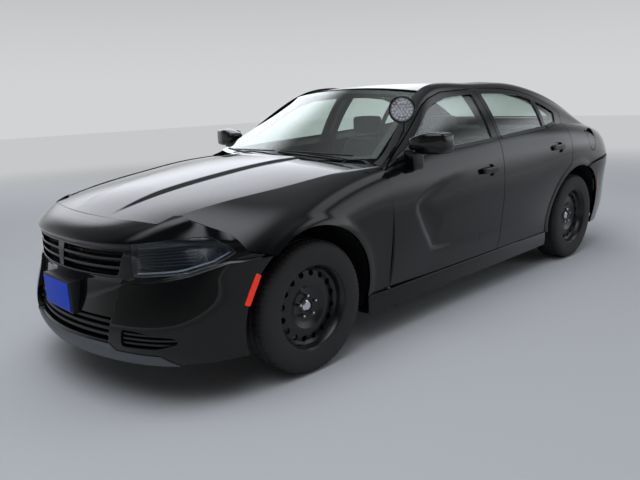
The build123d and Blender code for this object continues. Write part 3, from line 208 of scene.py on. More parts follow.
def scallop_depth(x, z, depth):
    """How far the door's swept hollow lies under the side surface at x, z."""
    line = np.array(spline(range(len(SCALLOP)), SCALLOP, np.linspace(0, len(SCALLOP) - 1, 90)))
    d = np.hypot(x[..., None] - line[:, 0], z[..., None] - line[:, 1])
    near = d.argmin(-1)
    away = d.min(-1)
    along = near / (len(line) - 1)
    inside = np.zeros(x.shape, bool)
    ring = np.vstack((line, [(-700, 700)]))
    for (x0, z0), (x1, z1) in zip(ring, np.roll(ring, -1, 0)):
        cross = (z0 > z) != (z1 > z)
        inside ^= cross & (x < (x1 - x0) * (z - z0) / (z1 - z0 + 1e-9) + x0)
    strength = ease(along, 0.0, 0.22) * (1 - ease(along, 0.62, 1.0))
    return np.where(inside, depth * strength * ease(away, 0, 46) * (1 - ease(away, 60, 330)), 0)


def arch_flare(x, z, axle):
    """How far the lip of a wheel arch stands out at x, z."""
    r = np.hypot(x - axle[0], z - axle[1])
    return ARCH_FLARE * (1 - ease(r, ARCH_RADIUS + 18, ARCH_RADIUS + 52))


def side_surface(xs, vs):
    """The left side: v 0 to 1 from rocker to belt, 1 to 2 up the glass, 2 to 3 over the roof rail."""
    t = spline(SIDE_ROWS[:, 0], SIDE_ROWS[:, 1:], xs)
    rocker = np.stack((t[:, 0], np.full(len(xs), ROCKER_Z)), 1)
    waist, shoulder, belt, rail = t[:, 1:3], t[:, 3:5], t[:, 5:7], t[:, 7:9]
    lip = rail + (-50, 12)
    low = cubic((rocker, waist, shoulder, belt), (0, 0.57, 0.9, 1), np.clip(vs, 0, 1))
    way = rail - belt
    size = np.linalg.norm(way, axis=1, keepdims=True) + 1e-6
    turn = rail - way / size * np.minimum(45, 0.4 * size)
    out = np.stack((way[:, 1], -way[:, 0]), 1) / size * np.minimum(16, 0.05 * size)
    s = np.clip(vs - 1, 0, 1)[None, :, None]
    high = belt[:, None] + (turn - belt)[:, None] * s + 4 * s * (1 - s) * out[:, None]
    r = np.clip(vs - 2, 0, 1)[None, :, None]
    top = (1 - r) ** 2 * turn[:, None] + 2 * r * (1 - r) * rail[:, None] + r * r * lip[:, None]
    yz = np.where((vs <= 1)[None, :, None], low, np.where((vs <= 2)[None, :, None], high, top))
    x = np.broadcast_to(xs[:, None], yz.shape[:2])
    y, z = yz[..., 0].copy(), yz[..., 1]
    y -= scallop_depth(x, z, bpy.context.scene.patrol_car.scallop_depth / MM)
    for axle in (FRONT_AXLE, REAR_AXLE):
        y += arch_flare(x, z, axle)
    return np.stack((x, y, z), 2)


def wing_surface(xs, vs):
    """The left front wing: v 0 to 1 from rocker to the bonnet's edge."""
    t = spline(SIDE_ROWS[:, 0], SIDE_ROWS[:, 1:6], xs)
    edge = spline(WING_EDGE[:, 0], WING_EDGE[:, 1:], xs)
    rocker = np.stack((t[:, 0], np.full(len(xs), ROCKER_Z)), 1)
    yz = cubic((rocker, t[:, 1:3], t[:, 3:5], edge), (0, 0.6, 0.84, 1), vs)
    x = np.broadcast_to(xs[:, None], yz.shape[:2])
    y, z = yz[..., 0], yz[..., 1]
    return np.stack((x, y + arch_flare(x, z, FRONT_AXLE), z), 2)


def outline_surface(rows, plan, half_knots, ts, zs):
    """Nose or tail: t runs from -1 at the right flank's back to 1 at the left's, over height z."""
    seam, back, flare = plan
    table = spline(rows[:, 0], rows[:, 1:], zs)
    knots = np.concatenate((-np.array(half_knots[:0:-1]), half_knots))
    sheet = np.empty((len(ts), len(zs), 3))
    for j, (cx, bx, by, kx, ky, fy) in enumerate(table):
        half = np.array(((cx, 0), (bx, by), (kx, ky), (seam, fy), (back, fy + flare)))
        ring = np.vstack((half[:0:-1] * (1, -1), half))
        sheet[:, j, :2] = spline(knots, ring, ts)
        sheet[:, j, 2] = zs[j]
    return sheet


def nose_surface(ts, zs):
    """The front cover: corners that stand proud of the middle and of the lamps above them."""
    sheet = outline_surface(NOSE_ROWS, NOSE_PLAN, NOSE_KNOTS, ts, zs)
    y, z = np.abs(sheet[..., 1]), sheet[..., 2]
    edge = np.interp(z, (300, 440, 575, 640), (430, 450, 468, 476))
    ledge = np.interp(y, (440, 520, 640, 760, 890), (612, 614, 622, 652, 704))
    middle = (1 - ease(y, edge - 7, edge + 2)) * ease(z, 296, 322)
    above = ease(z, ledge - 4, ledge + 8)
    back = 24 * np.maximum(middle * (1 - ease(z, 600, 640) * 0.5), above * 0.55) * (1 - ease(z, 770, 800))
    brow = 8 * ease(z, 775, 796) * (1 - ease(z, 800, 850)) * (1 - ease(y, 480, 640))
    sheet[..., 0] += brow - back * (1 - ease(y, 700, 900) * 0.6)
    sheet[..., 0] -= 26 * ease(z, 845, 890) * np.clip(1 - (y / 590) ** 2, 0, 1)
    sheet[..., 1] -= np.sign(sheet[..., 1]) * back * ease(y, 600, 800) * 0.7
    return sheet


def tail_surface(ts, zs):
    """The rear cover and the lid's back."""
    return outline_surface(TAIL_ROWS, TAIL_PLAN, TAIL_KNOTS, ts, zs)


def crowned(rows, xs, ss):
    """A panel across the car from x, half width, edge z and crown rows; s runs from -1 to 1."""
    t = spline(rows[:, 0], rows[:, 1:], xs)
    y = t[:, :1] * ss[None, :]
    z = t[:, 1:2] + t[:, 2:3] * (1 - ss[None, :] ** 2)
    return np.stack((np.broadcast_to(xs[:, None], y.shape), y, z), 2)


def bonnet_surface(xs, ss):
    """The bonnet, with its raised middle between two creases."""
    sheet = crowned(BONNET_ROWS, xs, ss)
    x, y = sheet[..., 0], np.abs(sheet[..., 1])
    crease = np.interp(x, (1000, 2250), (312, 205))
    sheet[..., 2] += 13 * (1 - ease(y, crease - 14, crease + 16)) * (1 - ease(x, 1950, 2290)) - 4
    return sheet


def roof_surface(xs, ss):
    """The roof between the rails."""
    rows = ROOF_ROWS.copy()
    rows[:, 3] -= rows[:, 2]
    return crowned(rows, xs, ss)


def lid_surface(xs, ss):
    """The boot lid's top, with a small lip along its back edge."""
    sheet = crowned(LID_ROWS, xs, ss)
    sheet[..., 2] += 12 * ease(-sheet[..., 0], 2400, 2480)
    return sheet


def screen_surface(rows, ts, ss):
    """A bowed screen from edge x, half width, edge z, centre x and centre z rows; t runs over the rows."""
    t = spline(np.arange(len(rows)), rows, ts)
    bow = 1 - ss[None, :] ** 2
    x = t[:, :1] + (t[:, 3:4] - t[:, :1]) * bow
    z = t[:, 2:3] + (t[:, 4:5] - t[:, 2:3]) * bow
    return np.stack((x, t[:, 1:2] * ss[None, :], z), 2)


# Modelling by hand, as steps


def take(*objs):
    """Selects these objects alone, the first one active."""
    bpy.ops.object.select_all(action="DESELECT")
    for obj in objs:
        obj.select_set(True)
    bpy.context.view_layer.objects.active = objs[0]
    return objs[0]


def apply(obj, kind, **settings):
    """Adds a modifier with its settings and applies it."""
    take(obj)
    modifier = obj.modifiers.new(kind.title(), kind)
    for key, value in settings.items():
        setattr(modifier, key, value)
    bpy.ops.object.modifier_apply(modifier=modifier.name)
    return obj


def added(name, primitive, **options):
    """A new mesh from one of the primitive operators."""
    bpy.ops.object.select_all(action="DESELECT")
    primitive(**options)
    obj = bpy.context.active_object
    obj.name = name
    return obj


def edited(obj, step, **options):
    """Runs one edit mode step on the whole of a mesh."""
    take(obj)
    bpy.ops.object.mode_set(mode="EDIT")
    bpy.ops.mesh.select_all(action="SELECT")
    step(**options)
    bpy.ops.object.mode_set(mode="OBJECT")


def set_points(obj, points):
    """Moves every vertex of a mesh to its place, in metres."""
    obj.data.vertices.foreach_set("co", np.asarray(points, float).ravel())
    obj.data.update()


def points_of(obj):
    """Every vertex of a mesh as rows of x, y, z."""
    co = np.empty(len(obj.data.vertices) * 3)
    obj.data.vertices.foreach_get("co", co)
    return co.reshape(-1, 3)


def sheet_on(name, surface, us, vs, facing, depth=0.0):
    """A grid laid on a surface, turned to face outwards and moved under it by a depth in mm."""
    obj = added(name, bpy.ops.mesh.primitive_grid_add, size=2, x_subdivisions=len(us) - 1,
                y_subdivisions=len(vs) - 1)
    co = points_of(obj)
    iu = np.rint((co[:, 0] + 1) / 2 * (len(us) - 1)).astype(int)
    iv = np.rint((co[:, 1] + 1) / 2 * (len(vs) - 1)).astype(int)
    places = surface(np.asarray(us, float), np.asarray(vs, float)) * MM
    set_points(obj, places[iu, iv])
    normals = np.array([v.normal for v in obj.data.vertices])
    if (normals @ np.array(facing)).mean() < 0:
        obj.data.flip_normals()
        normals = -normals
    if depth:
        set_points(obj, points_of(obj) - normals * depth * MM)
    return obj


def rounded(points, radius):
    """An outline with its corners rounded off."""
    ring = [np.array(p, float) for p in points]
    out = []
    for i, corner in enumerate(ring):
        before, after = ring[i - 1] - corner, ring[(i + 1) % len(ring)] - corner
        a = before / np.linalg.norm(before) * min(radius, 0.48 * np.linalg.norm(before))
        b = after / np.linalg.norm(after) * min(radius, 0.48 * np.linalg.norm(after))
        for s in (0, 0.25, 0.5, 0.75, 1):
            out.append(corner + a * (1 - s) ** 2 + b * s * s)
    return out


def grown(points, amount):
    """An outline moved outwards all round by an amount in mm."""
    ring = np.array(points, float)
    area = np.sum(ring[:, 0] * np.roll(ring[:, 1], -1) - np.roll(ring[:, 0], -1) * ring[:, 1])
    out = []
    for i in range(len(ring)):
        a, b = ring[i] - ring[i - 1], ring[(i + 1) % len(ring)] - ring[i]
        a, b = a / (np.linalg.norm(a) + 1e-9), b / (np.linalg.norm(b) + 1e-9)
        n = np.array((a[1] + b[1], -a[0] - b[0])) * np.sign(area)
        n = n / (np.linalg.norm(n) + 1e-9)
        lean = max(0.5, n @ (np.array((a[1], -a[0])) * np.sign(area)))
        out.append(ring[i] + n * amount / lean)
    return out


def bar_outline(x, z, length, height):
    """A level rectangle about its middle."""
    x0, x1, z0, z1 = x - length / 2, x + length / 2, z - height / 2, z + height / 2
    return [(x0, z0), (x1, z0), (x1, z1), (x0, z1)]


def flattened(points, edge):
    """An outline cut off straight along its front, at x."""
    return [(min(x, edge), z) for x, z in points]


def circle(x, z, radius, steps=96):
    """A round outline."""
    turn = np.linspace(0, 2 * math.pi, steps, endpoint=False)
    return [(x + radius * math.cos(a), z + radius * math.sin(a)) for a in turn]


def ring_places(count, radius, start):
    """Places spaced evenly round a wheel's axis; start is a share of one space."""
    turn = [2 * math.pi * (i + start) / count for i in range(count)]
    return [(radius * math.cos(a), 0, radius * math.sin(a)) for a in turn]


def arc_band(centre, inner, outer, start, end):
    """A strip between two radii about a centre, over a range of degrees from straight ahead."""
    turn = np.radians(np.linspace(start, end, 60))
    ring = [(centre[0] + inner * math.cos(a), centre[1] + inner * math.sin(a)) for a in turn]
    return ring + [(centre[0] + outer * math.cos(a), centre[1] + outer * math.sin(a)) for a in turn[::-1]]


def prism(points, view, low, high, name="cutter"):
    """An outline drawn in a view and extruded along it, from low to high in mm."""
    obj = added(name, bpy.ops.mesh.primitive_circle_add, vertices=len(points), fill_type="NGON")
    along, up, out = view
    set_points(obj, [(along * float(p) + up * float(q) + out * low) * MM for p, q in points])
    edited(obj, bpy.ops.mesh.extrude_region_move, TRANSFORM_OT_translate={"value": out * (high - low) * MM})
    edited(obj, bpy.ops.mesh.normals_make_consistent, inside=False)
    return obj


def carve(obj, tool, operation="DIFFERENCE"):
    """Cuts a piece with a tool and puts the tool away."""
    apply(obj, "BOOLEAN", object=tool, operation=operation, solver="MANIFOLD")
    if not len(obj.data.polygons):
        raise RuntimeError(f"{obj.name} was cut away")
    bpy.data.objects.remove(tool)
    return obj


def soften(obj, degrees=32.0):
    """Smooth shading, with edges above an angle kept crisp."""
    take(obj)
    bpy.ops.object.shade_smooth_by_angle(angle=math.radians(degrees))
    return obj


def panel(name, surface, us, vs, facing, thick, depth=0.0, keep=None, cuts=(), view=SIDE_VIEW,
          reach=BODY_REACH):
    """A closed shell on a surface, trimmed to an outline and cut by others."""
    obj = sheet_on(name, surface, us, vs, facing, depth)
    apply(obj, "SOLIDIFY", thickness=thick * MM, offset=-1, use_even_offset=False, use_rim=True)
    if keep is not None:
        carve(obj, prism(keep, view, *reach), "INTERSECT")
    for cut in cuts:
        carve(obj, prism(cut, view, *reach))
    return soften(obj)


def joined(name, *objs):
    """Several meshes as one piece."""
    take(*objs)
    if len(objs) > 1:
        bpy.ops.object.join()
    objs[0].name = name
    return objs[0]


def copied(obj, name, matrix):
    """A copy of a piece with its own mesh, moved by a matrix."""
    copy = bpy.data.objects.new(name, obj.data.copy())
    bpy.context.scene.collection.objects.link(copy)
    copy.data.transform(matrix)
    return copy


def mirrored(obj, name):
    """The right-hand copy of a left-hand piece."""
    copy = copied(obj, name, Matrix.Scale(-1, 4, SIDEWAYS))
    copy.data.flip_normals()
    return copy


def both_sides(name, *objs):
    """Left-hand pieces and their right-hand copies as one piece."""
    half = joined(name, *objs)
    return joined(name, half, mirrored(half, "right"))


def turned(name, profile, place, axis, steps=64):
    """A profile of radius and offset in mm, spun about an axis through a place."""
    obj = added(name, bpy.ops.mesh.primitive_circle_add, vertices=len(profile), fill_type="NOTHING")
    set_points(obj, [(r * MM, 0, h * MM) for r, h in profile])
    apply(obj, "SCREW", axis="Z", steps=steps, render_steps=steps, use_merge_vertices=True,
          merge_threshold=1e-6, use_smooth_shade=True)
    edited(obj, bpy.ops.mesh.normals_make_consistent, inside=False)
    turn = UP.rotation_difference(Vector(axis)).to_matrix().to_4x4()
    obj.data.transform(Matrix.Translation(Vector(place) * MM) @ turn)
    return soften(obj, 30)


def block(name, low, high, bevel=8.0, segments=3):
    """A rounded block between two corners in mm."""
    obj = added(name, bpy.ops.mesh.primitive_cube_add, size=1)
    low, high = np.array(low, float), np.array(high, float)
    set_points(obj, (points_of(obj) * (high - low) + (low + high) / 2) * MM)
    apply(obj, "BEVEL", width=bevel * MM, segments=segments, limit_method="ANGLE")
    return soften(obj, 40)


def pillow(name, low, high, crown=0.5, levels=3):
    """A cushion: a block rounded by subdivision, with crowned faces and pulled-in sides."""
    obj = added(name, bpy.ops.mesh.primitive_cube_add, size=2)
    edited(obj, bpy.ops.mesh.subdivide, number_cuts=3)
    co = points_of(obj)
    push = 1 - crown * 0.12 * (np.sort(np.abs(co), axis=1)[:, 1:2] ** 2)
    low, high = np.array(low, float), np.array(high, float)
    set_points(obj, (co * push * (high - low) / 2 + (low + high) / 2) * MM)
    apply(obj, "SUBSURF", levels=levels, render_levels=levels)
    return soften(obj, 60)


def tube(name, points, radius, steps=10):
    """A round rod through points in mm."""
    curve = bpy.data.curves.new(name, "CURVE")
    curve.dimensions = "3D"
    line = curve.splines.new("POLY")
    line.points.add(len(points) - 1)
    for p, q in zip(line.points, points):
        p.co = (*(Vector(q) * MM), 1)
    curve.bevel_depth = radius * MM
    curve.bevel_resolution = steps // 2
    curve.use_fill_caps = True
    obj = bpy.data.objects.new(name, curve)
    bpy.context.scene.collection.objects.link(obj)
    take(obj)
    bpy.ops.object.convert(target="MESH")
    return soften(obj, 40)


def dress(obj, material, body, *nodes, slot=None):
    """Gives a piece its finish and its body, and hides the CAD nodes it stands for."""
    obj.data.materials.clear()
    obj.data.materials.append(material)
    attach(obj, body)
    if nodes:
        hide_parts(*nodes)
    return obj


# Finishes


def linear(code):
    """A hex sRGB colour as linear red, green, blue and alpha."""
    parts = [int(code[i:i + 2], 16) / 255 for i in (1, 3, 5)]
    return (*[c / 12.92 if c <= 0.04045 else ((c + 0.055) / 1.055) ** 2.4 for c in parts], 1.0)


def add(tree, kind, settings, inputs):
    """Adds a shader node, sets its options, and sets or links its inputs."""
    made = tree.nodes.new(kind)
    for key, value in settings.items():
        setattr(made, key, value)
    for key, value in inputs.items():
        if isinstance(value, bpy.types.NodeSocket):
            tree.links.new(value, made.inputs[key])
        else:
            made.inputs[key].default_value = value
    return made


def empty_material(name):
    """A material by its name, with its node tree if it is new and still empty."""
    known = bpy.data.materials.get(name)
    if known:
        return known, None
    material = bpy.data.materials.new(name)
    material.use_nodes = True
    material.node_tree.nodes.clear()
    return material, material.node_tree


def end_solid(tree, inputs):
    """Ends a material with a shader for solid surfaces."""
    shader = add(tree, "ShaderNodeBsdfPrincipled", {}, inputs)
    add(tree, "ShaderNodeOutputMaterial", {}, {"Surface": shader.outputs["BSDF"]})


def mixed(tree, factor, colour, shade):
    """A blend of two hex colours by a factor."""
    blend = add(tree, "ShaderNodeMix", {"data_type": "RGBA"}, {
        0: factor, 6: linear(colour), 7: linear(shade)})
    return blend.outputs[2]


def finish(name, colour, roughness, grain_mm=3.0, bump_mm=0.0, shade=None, **sockets):
    """A material whose colour and roughness vary gently with its grain, given in millimetres."""
    material, tree = empty_material(name)
    if tree is None:
        return material
    place = add(tree, "ShaderNodeTexCoord", {}, {})
    noise = add(tree, "ShaderNodeTexNoise", {}, {"Vector": place.outputs["Object"], "Scale": 1000 / grain_mm,
                                                "Detail": 3.0, "Roughness": 0.55})
    vary = add(tree, "ShaderNodeMapRange", {}, {"Value": noise.outputs["Fac"], "To Min": roughness * 0.88,
                                               "To Max": min(1.0, roughness * 1.14)})
    inputs = {"Base Color": mixed(tree, noise.outputs["Fac"], colour, shade or colour),
              "Roughness": vary.outputs["Result"]}
    if bump_mm:
        bump = add(tree, "ShaderNodeBump", {}, {"Height": noise.outputs["Fac"], "Strength": 0.5,
                                               "Distance": bump_mm * MM})
        inputs["Normal"] = bump.outputs["Normal"]
    inputs.update({key.replace("_", " "): value for key, value in sockets.items()})
    end_solid(tree, inputs)
    return material


def see_through(name, colour, roughness, ior, shadow):
    """A clear, glossy solid that tints what lies behind it and the light that falls through it."""
    material, tree = empty_material(name)
    if tree is None:
        return material
    path = add(tree, "ShaderNodeLightPath", {}, {})
    shader = add(tree, "ShaderNodeBsdfPrincipled", {}, {"Base Color": linear(colour), "Roughness": roughness,
                                                       "IOR": ior, "Transmission Weight": 1.0})
    clear = add(tree, "ShaderNodeBsdfTransparent", {}, {"Color": linear(shadow)})
    mix = add(tree, "ShaderNodeMixShader", {}, {0: path.outputs["Is Shadow Ray"], 1: shader.outputs["BSDF"],
                                                2: clear.outputs["BSDF"]})
    add(tree, "ShaderNodeOutputMaterial", {}, {"Surface": mix.outputs["Shader"]})
    return material


def paint():
    """Two-layer gloss black enamel: a near-black base under a clear coat that mirrors the room."""
    return finish("gloss_black_enamel", "#040506", 0.4, grain_mm=40, shade="#060708",
                  Coat_Weight=1.0, Coat_Roughness=0.025, Coat_IOR=1.42, Specular_IOR_Level=0.04)


def trim_plastic():
    """Moulded black ABS with a fine satin grain: dark, with a broad soft sheen."""
    return finish("moulded_black_abs", "#101113", 0.42, grain_mm=1.6, bump_mm=0.08, shade="#17181b")


def lip_plastic():
    """Unpainted polypropylene with a moulded grain: greyer and duller than the paint."""
    return finish("grained_polypropylene", "#4d5156", 0.46, grain_mm=1.8, bump_mm=0.1, shade="#5a5e63")


def gloss_plastic():
    """Polished black ABS: a hard, clear highlight over black."""
    return finish("polished_black_abs", "#07080a", 0.14, grain_mm=14, shade="#0b0c0e",
                  Specular_IOR_Level=0.6)


def glass():
    """Tempered soda-lime glass with a light green tint: clear to look through, with a sharp reflection."""
    return see_through("green_tinted_glass", "#ecf7f2", 0.0, 1.5, "#d4e6de")


def lens_clear():
    """Hard-coated clear polycarbonate: a smoky, glossy skin over the lamp."""
    return see_through("clear_polycarbonate", "#c4c9ce", 0.01, 1.42, "#c8ced2")


def red_lens():
    """Ribbed red acrylic: deep red with a clear gloss."""
    return finish("red_acrylic", "#7a0d10", 0.16, grain_mm=6, bump_mm=0.15, shade="#a01518", Coat_Weight=0.6,
                  Coat_Roughness=0.04)


def amber_lens():
    """Orange-red acrylic marker: bright, even colour with a clear gloss."""
    return finish("amber_acrylic", "#e22a08", 0.3, grain_mm=6, bump_mm=0.15, shade="#ee380e",
                  Coat_Weight=0.2, Coat_Roughness=0.05, Emission_Color=linear("#e22a08"),
                  Emission_Strength=0.35)


def chrome():
    """Chromed steel: a bright mirror, slightly dulled."""
    return finish("chromed_steel", "#c9ccd0", 0.1, grain_mm=20, shade="#d8dadd", Metallic=1.0)


def wheel_steel():
    """Powder-coated steel: black with a satin, faintly pebbled skin."""
    return finish("powder_coated_steel", "#0d0e10", 0.27, grain_mm=2.2, bump_mm=0.06, shade="#121314")


def rubber():
    """Vulcanised tyre rubber: dull charcoal with a dusty bloom."""
    return finish("tyre_rubber", "#0c0d0e", 0.55, grain_mm=4, bump_mm=0.2, shade="#141516")


def iron():
    """Cast iron with a sand-cast skin: dark grey and rough."""
    return finish("sand_cast_iron", "#3a3936", 0.65, grain_mm=2.5, bump_mm=0.3, shade="#4c4743",
                  Metallic=0.6)


def exhaust_steel():
    """Aluminised exhaust steel: pale grey, streaked by heat."""
    return finish("aluminised_steel", "#77746e", 0.42, grain_mm=30, shade="#8d8478", Metallic=0.9)


def underseal():
    """Sprayed bitumen underseal: matt black and lumpy."""
    return finish("sprayed_underseal", "#121212", 0.85, grain_mm=5, bump_mm=0.6, shade="#1b1b1a")


def blue_plate():
    """Screen-printed aluminium blank: flat blue under a clear film."""
    return finish("blue_plate_enamel", "#1748d6", 0.5, grain_mm=25, shade="#1d50e0", Specular_IOR_Level=0.2)


def cloth():
    """Woven polyester seat cloth, its 4 mm weave drawn coarse to show: soft black with a faint sheen."""
    material, tree = empty_material("woven_polyester")
    if tree is None:
        return material
    place = add(tree, "ShaderNodeTexCoord", {}, {})
    scale = 2 * math.pi / 0.004 / 20
    x, y, z = [add(tree, "ShaderNodeTexWave", {"bands_direction": way}, {
        "Vector": place.outputs["Object"], "Scale": scale}).outputs["Fac"] for way in "XYZ"]
    level = add(tree, "ShaderNodeMath", {"operation": "MULTIPLY"}, {0: x, 1: y})
    weave = add(tree, "ShaderNodeMath", {"operation": "ADD"}, {0: level.outputs[0], 1: z})
    bump = add(tree, "ShaderNodeBump", {}, {"Height": weave.outputs[0], "Strength": 0.4, "Distance": 0.0006})
    end_solid(tree, {"Base Color": mixed(tree, weave.outputs[0], "#1b1c1f", "#2a2b2f"), "Roughness": 0.85,
                   "Sheen Weight": 0.3, "Normal": bump.outputs["Normal"]})
    return material


def led_lens():
    """Faceted clear acrylic over white diodes: pale grey cells that sparkle."""
    material, tree = empty_material("faceted_led_acrylic")
    if tree is None:
        return material
    place = add(tree, "ShaderNodeTexCoord", {}, {})
    cells = add(tree, "ShaderNodeTexVoronoi", {}, {"Vector": place.outputs["Object"], "Scale": 1000 / 22})
    far = cells.outputs["Distance"]
    bump = add(tree, "ShaderNodeBump", {}, {"Height": far, "Strength": 0.8, "Distance": 0.004})
    end_solid(tree, {"Base Color": mixed(tree, far, "#d8dade", "#5d6066"), "Roughness": 0.18,
                   "Normal": bump.outputs["Normal"], "Coat Weight": 0.8})
    return material


def mirror_glass():
    """Silvered mirror glass: a plain bright reflection."""
    return finish("silvered_glass", "#cfd6da", 0.03, grain_mm=60, shade="#d6dcdf", Metallic=1.0)


def carpet():
    """Tufted nylon carpet: charcoal, matt and uneven."""
    return finish("tufted_nylon", "#18181a", 0.95, grain_mm=6, bump_mm=1.2, shade="#26262a")


def smooth(tree, value, low, high, start, end):
    """A value's smooth run from start to end, as it goes from low to high."""
    run = add(tree, "ShaderNodeMapRange", {"interpolation_type": "SMOOTHSTEP"}, {
        "Value": value, "From Min": low, "From Max": high, "To Min": start, "To Max": end})
    return run.outputs["Result"]


def soft_light(name, place, aim, size, radiance):
    """A studio panel that fades out towards its edges, so gloss paint mirrors no hard frame."""
    data = bpy.data.lights.new(name, "AREA")
    data.shape = "RECTANGLE"
    data.size, data.size_y = size
    data.energy = radiance * math.pi * size[0] * size[1]
    turn = (Vector(aim) - Vector(place)).to_track_quat("-Z", "Y")
    data.use_nodes = True
    tree = data.node_tree
    tree.nodes.clear()
    at = add(tree, "ShaderNodeNewGeometry", {}, {})
    away = add(tree, "ShaderNodeVectorMath", {"operation": "SUBTRACT"}, {
        0: at.outputs["Position"], 1: place})
    fades = []
    for way, length in zip(((1, 0, 0), (0, 1, 0)), size):
        along = add(tree, "ShaderNodeVectorMath", {"operation": "DOT_PRODUCT"}, {
            0: away.outputs["Vector"], 1: tuple(turn @ Vector(way))})
        off = add(tree, "ShaderNodeMath", {"operation": "ABSOLUTE"}, {0: along.outputs["Value"]})
        fades.append(smooth(tree, off.outputs[0], 0.15 * length, 0.5 * length, 1.0, 0.0))
    both = add(tree, "ShaderNodeMath", {"operation": "MULTIPLY"}, {0: fades[0], 1: fades[1]})
    glow = add(tree, "ShaderNodeEmission", {}, {"Color": linear("#f4f7ff"), "Strength": both.outputs[0]})
    add(tree, "ShaderNodeOutputLight", {}, {"Surface": glow.outputs["Emission"]})
    lamp = bpy.data.objects.new(name, data)
    lamp.location = place
    lamp.rotation_euler = turn.to_euler()
    bpy.context.scene.collection.objects.link(lamp)
    return lamp


# Settings a user would change


class PatrolCarSettings(bpy.types.PropertyGroup):
    """Sizes and colours of the car and its studio."""

    panel_thickness: FloatProperty(
        name="Panel thickness", description="Depth of the outer panels' folded edges", default=0.020,
        min=0.004, max=0.03, unit="LENGTH")
    glass_thickness: FloatProperty(
        name="Glass thickness", description="Thickness of the panes", default=0.005, min=0.003, max=0.008,
        unit="LENGTH")
    shut_gap: FloatProperty(
        name="Shut gap", description="Gap round doors and lids", default=0.006, min=0.003, max=0.01,
        unit="LENGTH")
    scallop_depth: FloatProperty(
        name="Scallop depth", description="Depth of the swept hollow in the doors", default=0.020, min=0.0,
        max=0.03, unit="LENGTH")
    grid_step: FloatProperty(
        name="Grid step", description="Spacing of the panels' grids", default=0.018, min=0.01, max=0.06,
        unit="LENGTH")
    tread_blocks: IntProperty(
        name="Tread blocks", description="Blocks round each tyre", default=72, min=24, max=120)
    floor_colour: FloatVectorProperty(
        name="Floor colour", description="Colour of the studio floor", subtype="COLOR", size=4,
        default=linear("#c9cbcd"), min=0, max=1)
    key_radiance: FloatProperty(
        name="Key light", description="Brightness of the large overhead light", default=3.0, min=0, max=10)


def settings():
    """The scene's settings."""
    return bpy.context.scene.patrol_car


def steps(low, high, step_mm=None):
    """Evenly spaced places from low to high, near the grid step."""
    step = step_mm or settings().grid_step / MM
    return np.linspace(low, high, max(3, int(abs(high - low) / step) + 1))


def side_vs(low=0.0, high=3.0, step=None):
    """Places up the body side, spaced for its three bands."""
    size = step or settings().grid_step / MM
    bands = [(0.0, 1.0, 780 / size), (1.0, 2.0, 420 / size), (2.0, 3.0, 90 / min(size, 12))]
    out = []
    for a, b, count in bands:
        a, b = max(a, low), min(b, high)
        if b > a:
            out.extend(np.linspace(a, b, max(3, int(count * (b - a)) + 1))[(1 if out else 0):])
    return np.array(out)


def side_panel(name, xs, vs, thick, depth=0.0, keep=None, cuts=(), reach=DOOR_REACH):
    """A shell on the left body side."""
    return panel(name, side_surface, xs, vs, (0, 1, 0), thick, depth, keep, cuts, SIDE_VIEW, reach)


def nose_panel(name, ts, zs, thick, depth=0.0, keep=None, cuts=()):
    """A shell on the front cover, with its outlines drawn from the front."""
    return panel(name, nose_surface, ts, zs, (1, 0, 0), thick, depth, keep, cuts, FRONT_VIEW, NOSE_REACH)


def tail_panel(name, ts, zs, thick, depth, keep, cuts=()):
    """A shell on the tail, with its outlines drawn from the front."""
    return panel(name, tail_surface, ts, zs, (-1, 0, 0), thick, depth, keep, cuts, FRONT_VIEW, TAIL_REACH)


def lamp_panel(name, thick, depth, keep, cuts=()):
    """A shell behind the left headlamp's lens, with its outlines drawn from the lamp's own view."""
    ts, zs = np.linspace(0.2, 0.95, 90), steps(620, 840, 10)
    return panel(name, nose_surface, ts, zs, (1, 0.4, 0), thick, depth, keep, cuts, LAMP_VIEW, LAMP_REACH)


def dress_pair(obj, name, material, body, *nodes, slot=None):
    """Dresses a left-hand piece and its right-hand copy; the names have {} where the side goes."""
    obj.name = name.format("left")
    for piece, side in zip((obj, mirrored(obj, name.format("right"))), SIDES):
        dress(piece, material, body.format(side), *[node.format(side) for node in nodes], slot=slot)


# Pieces


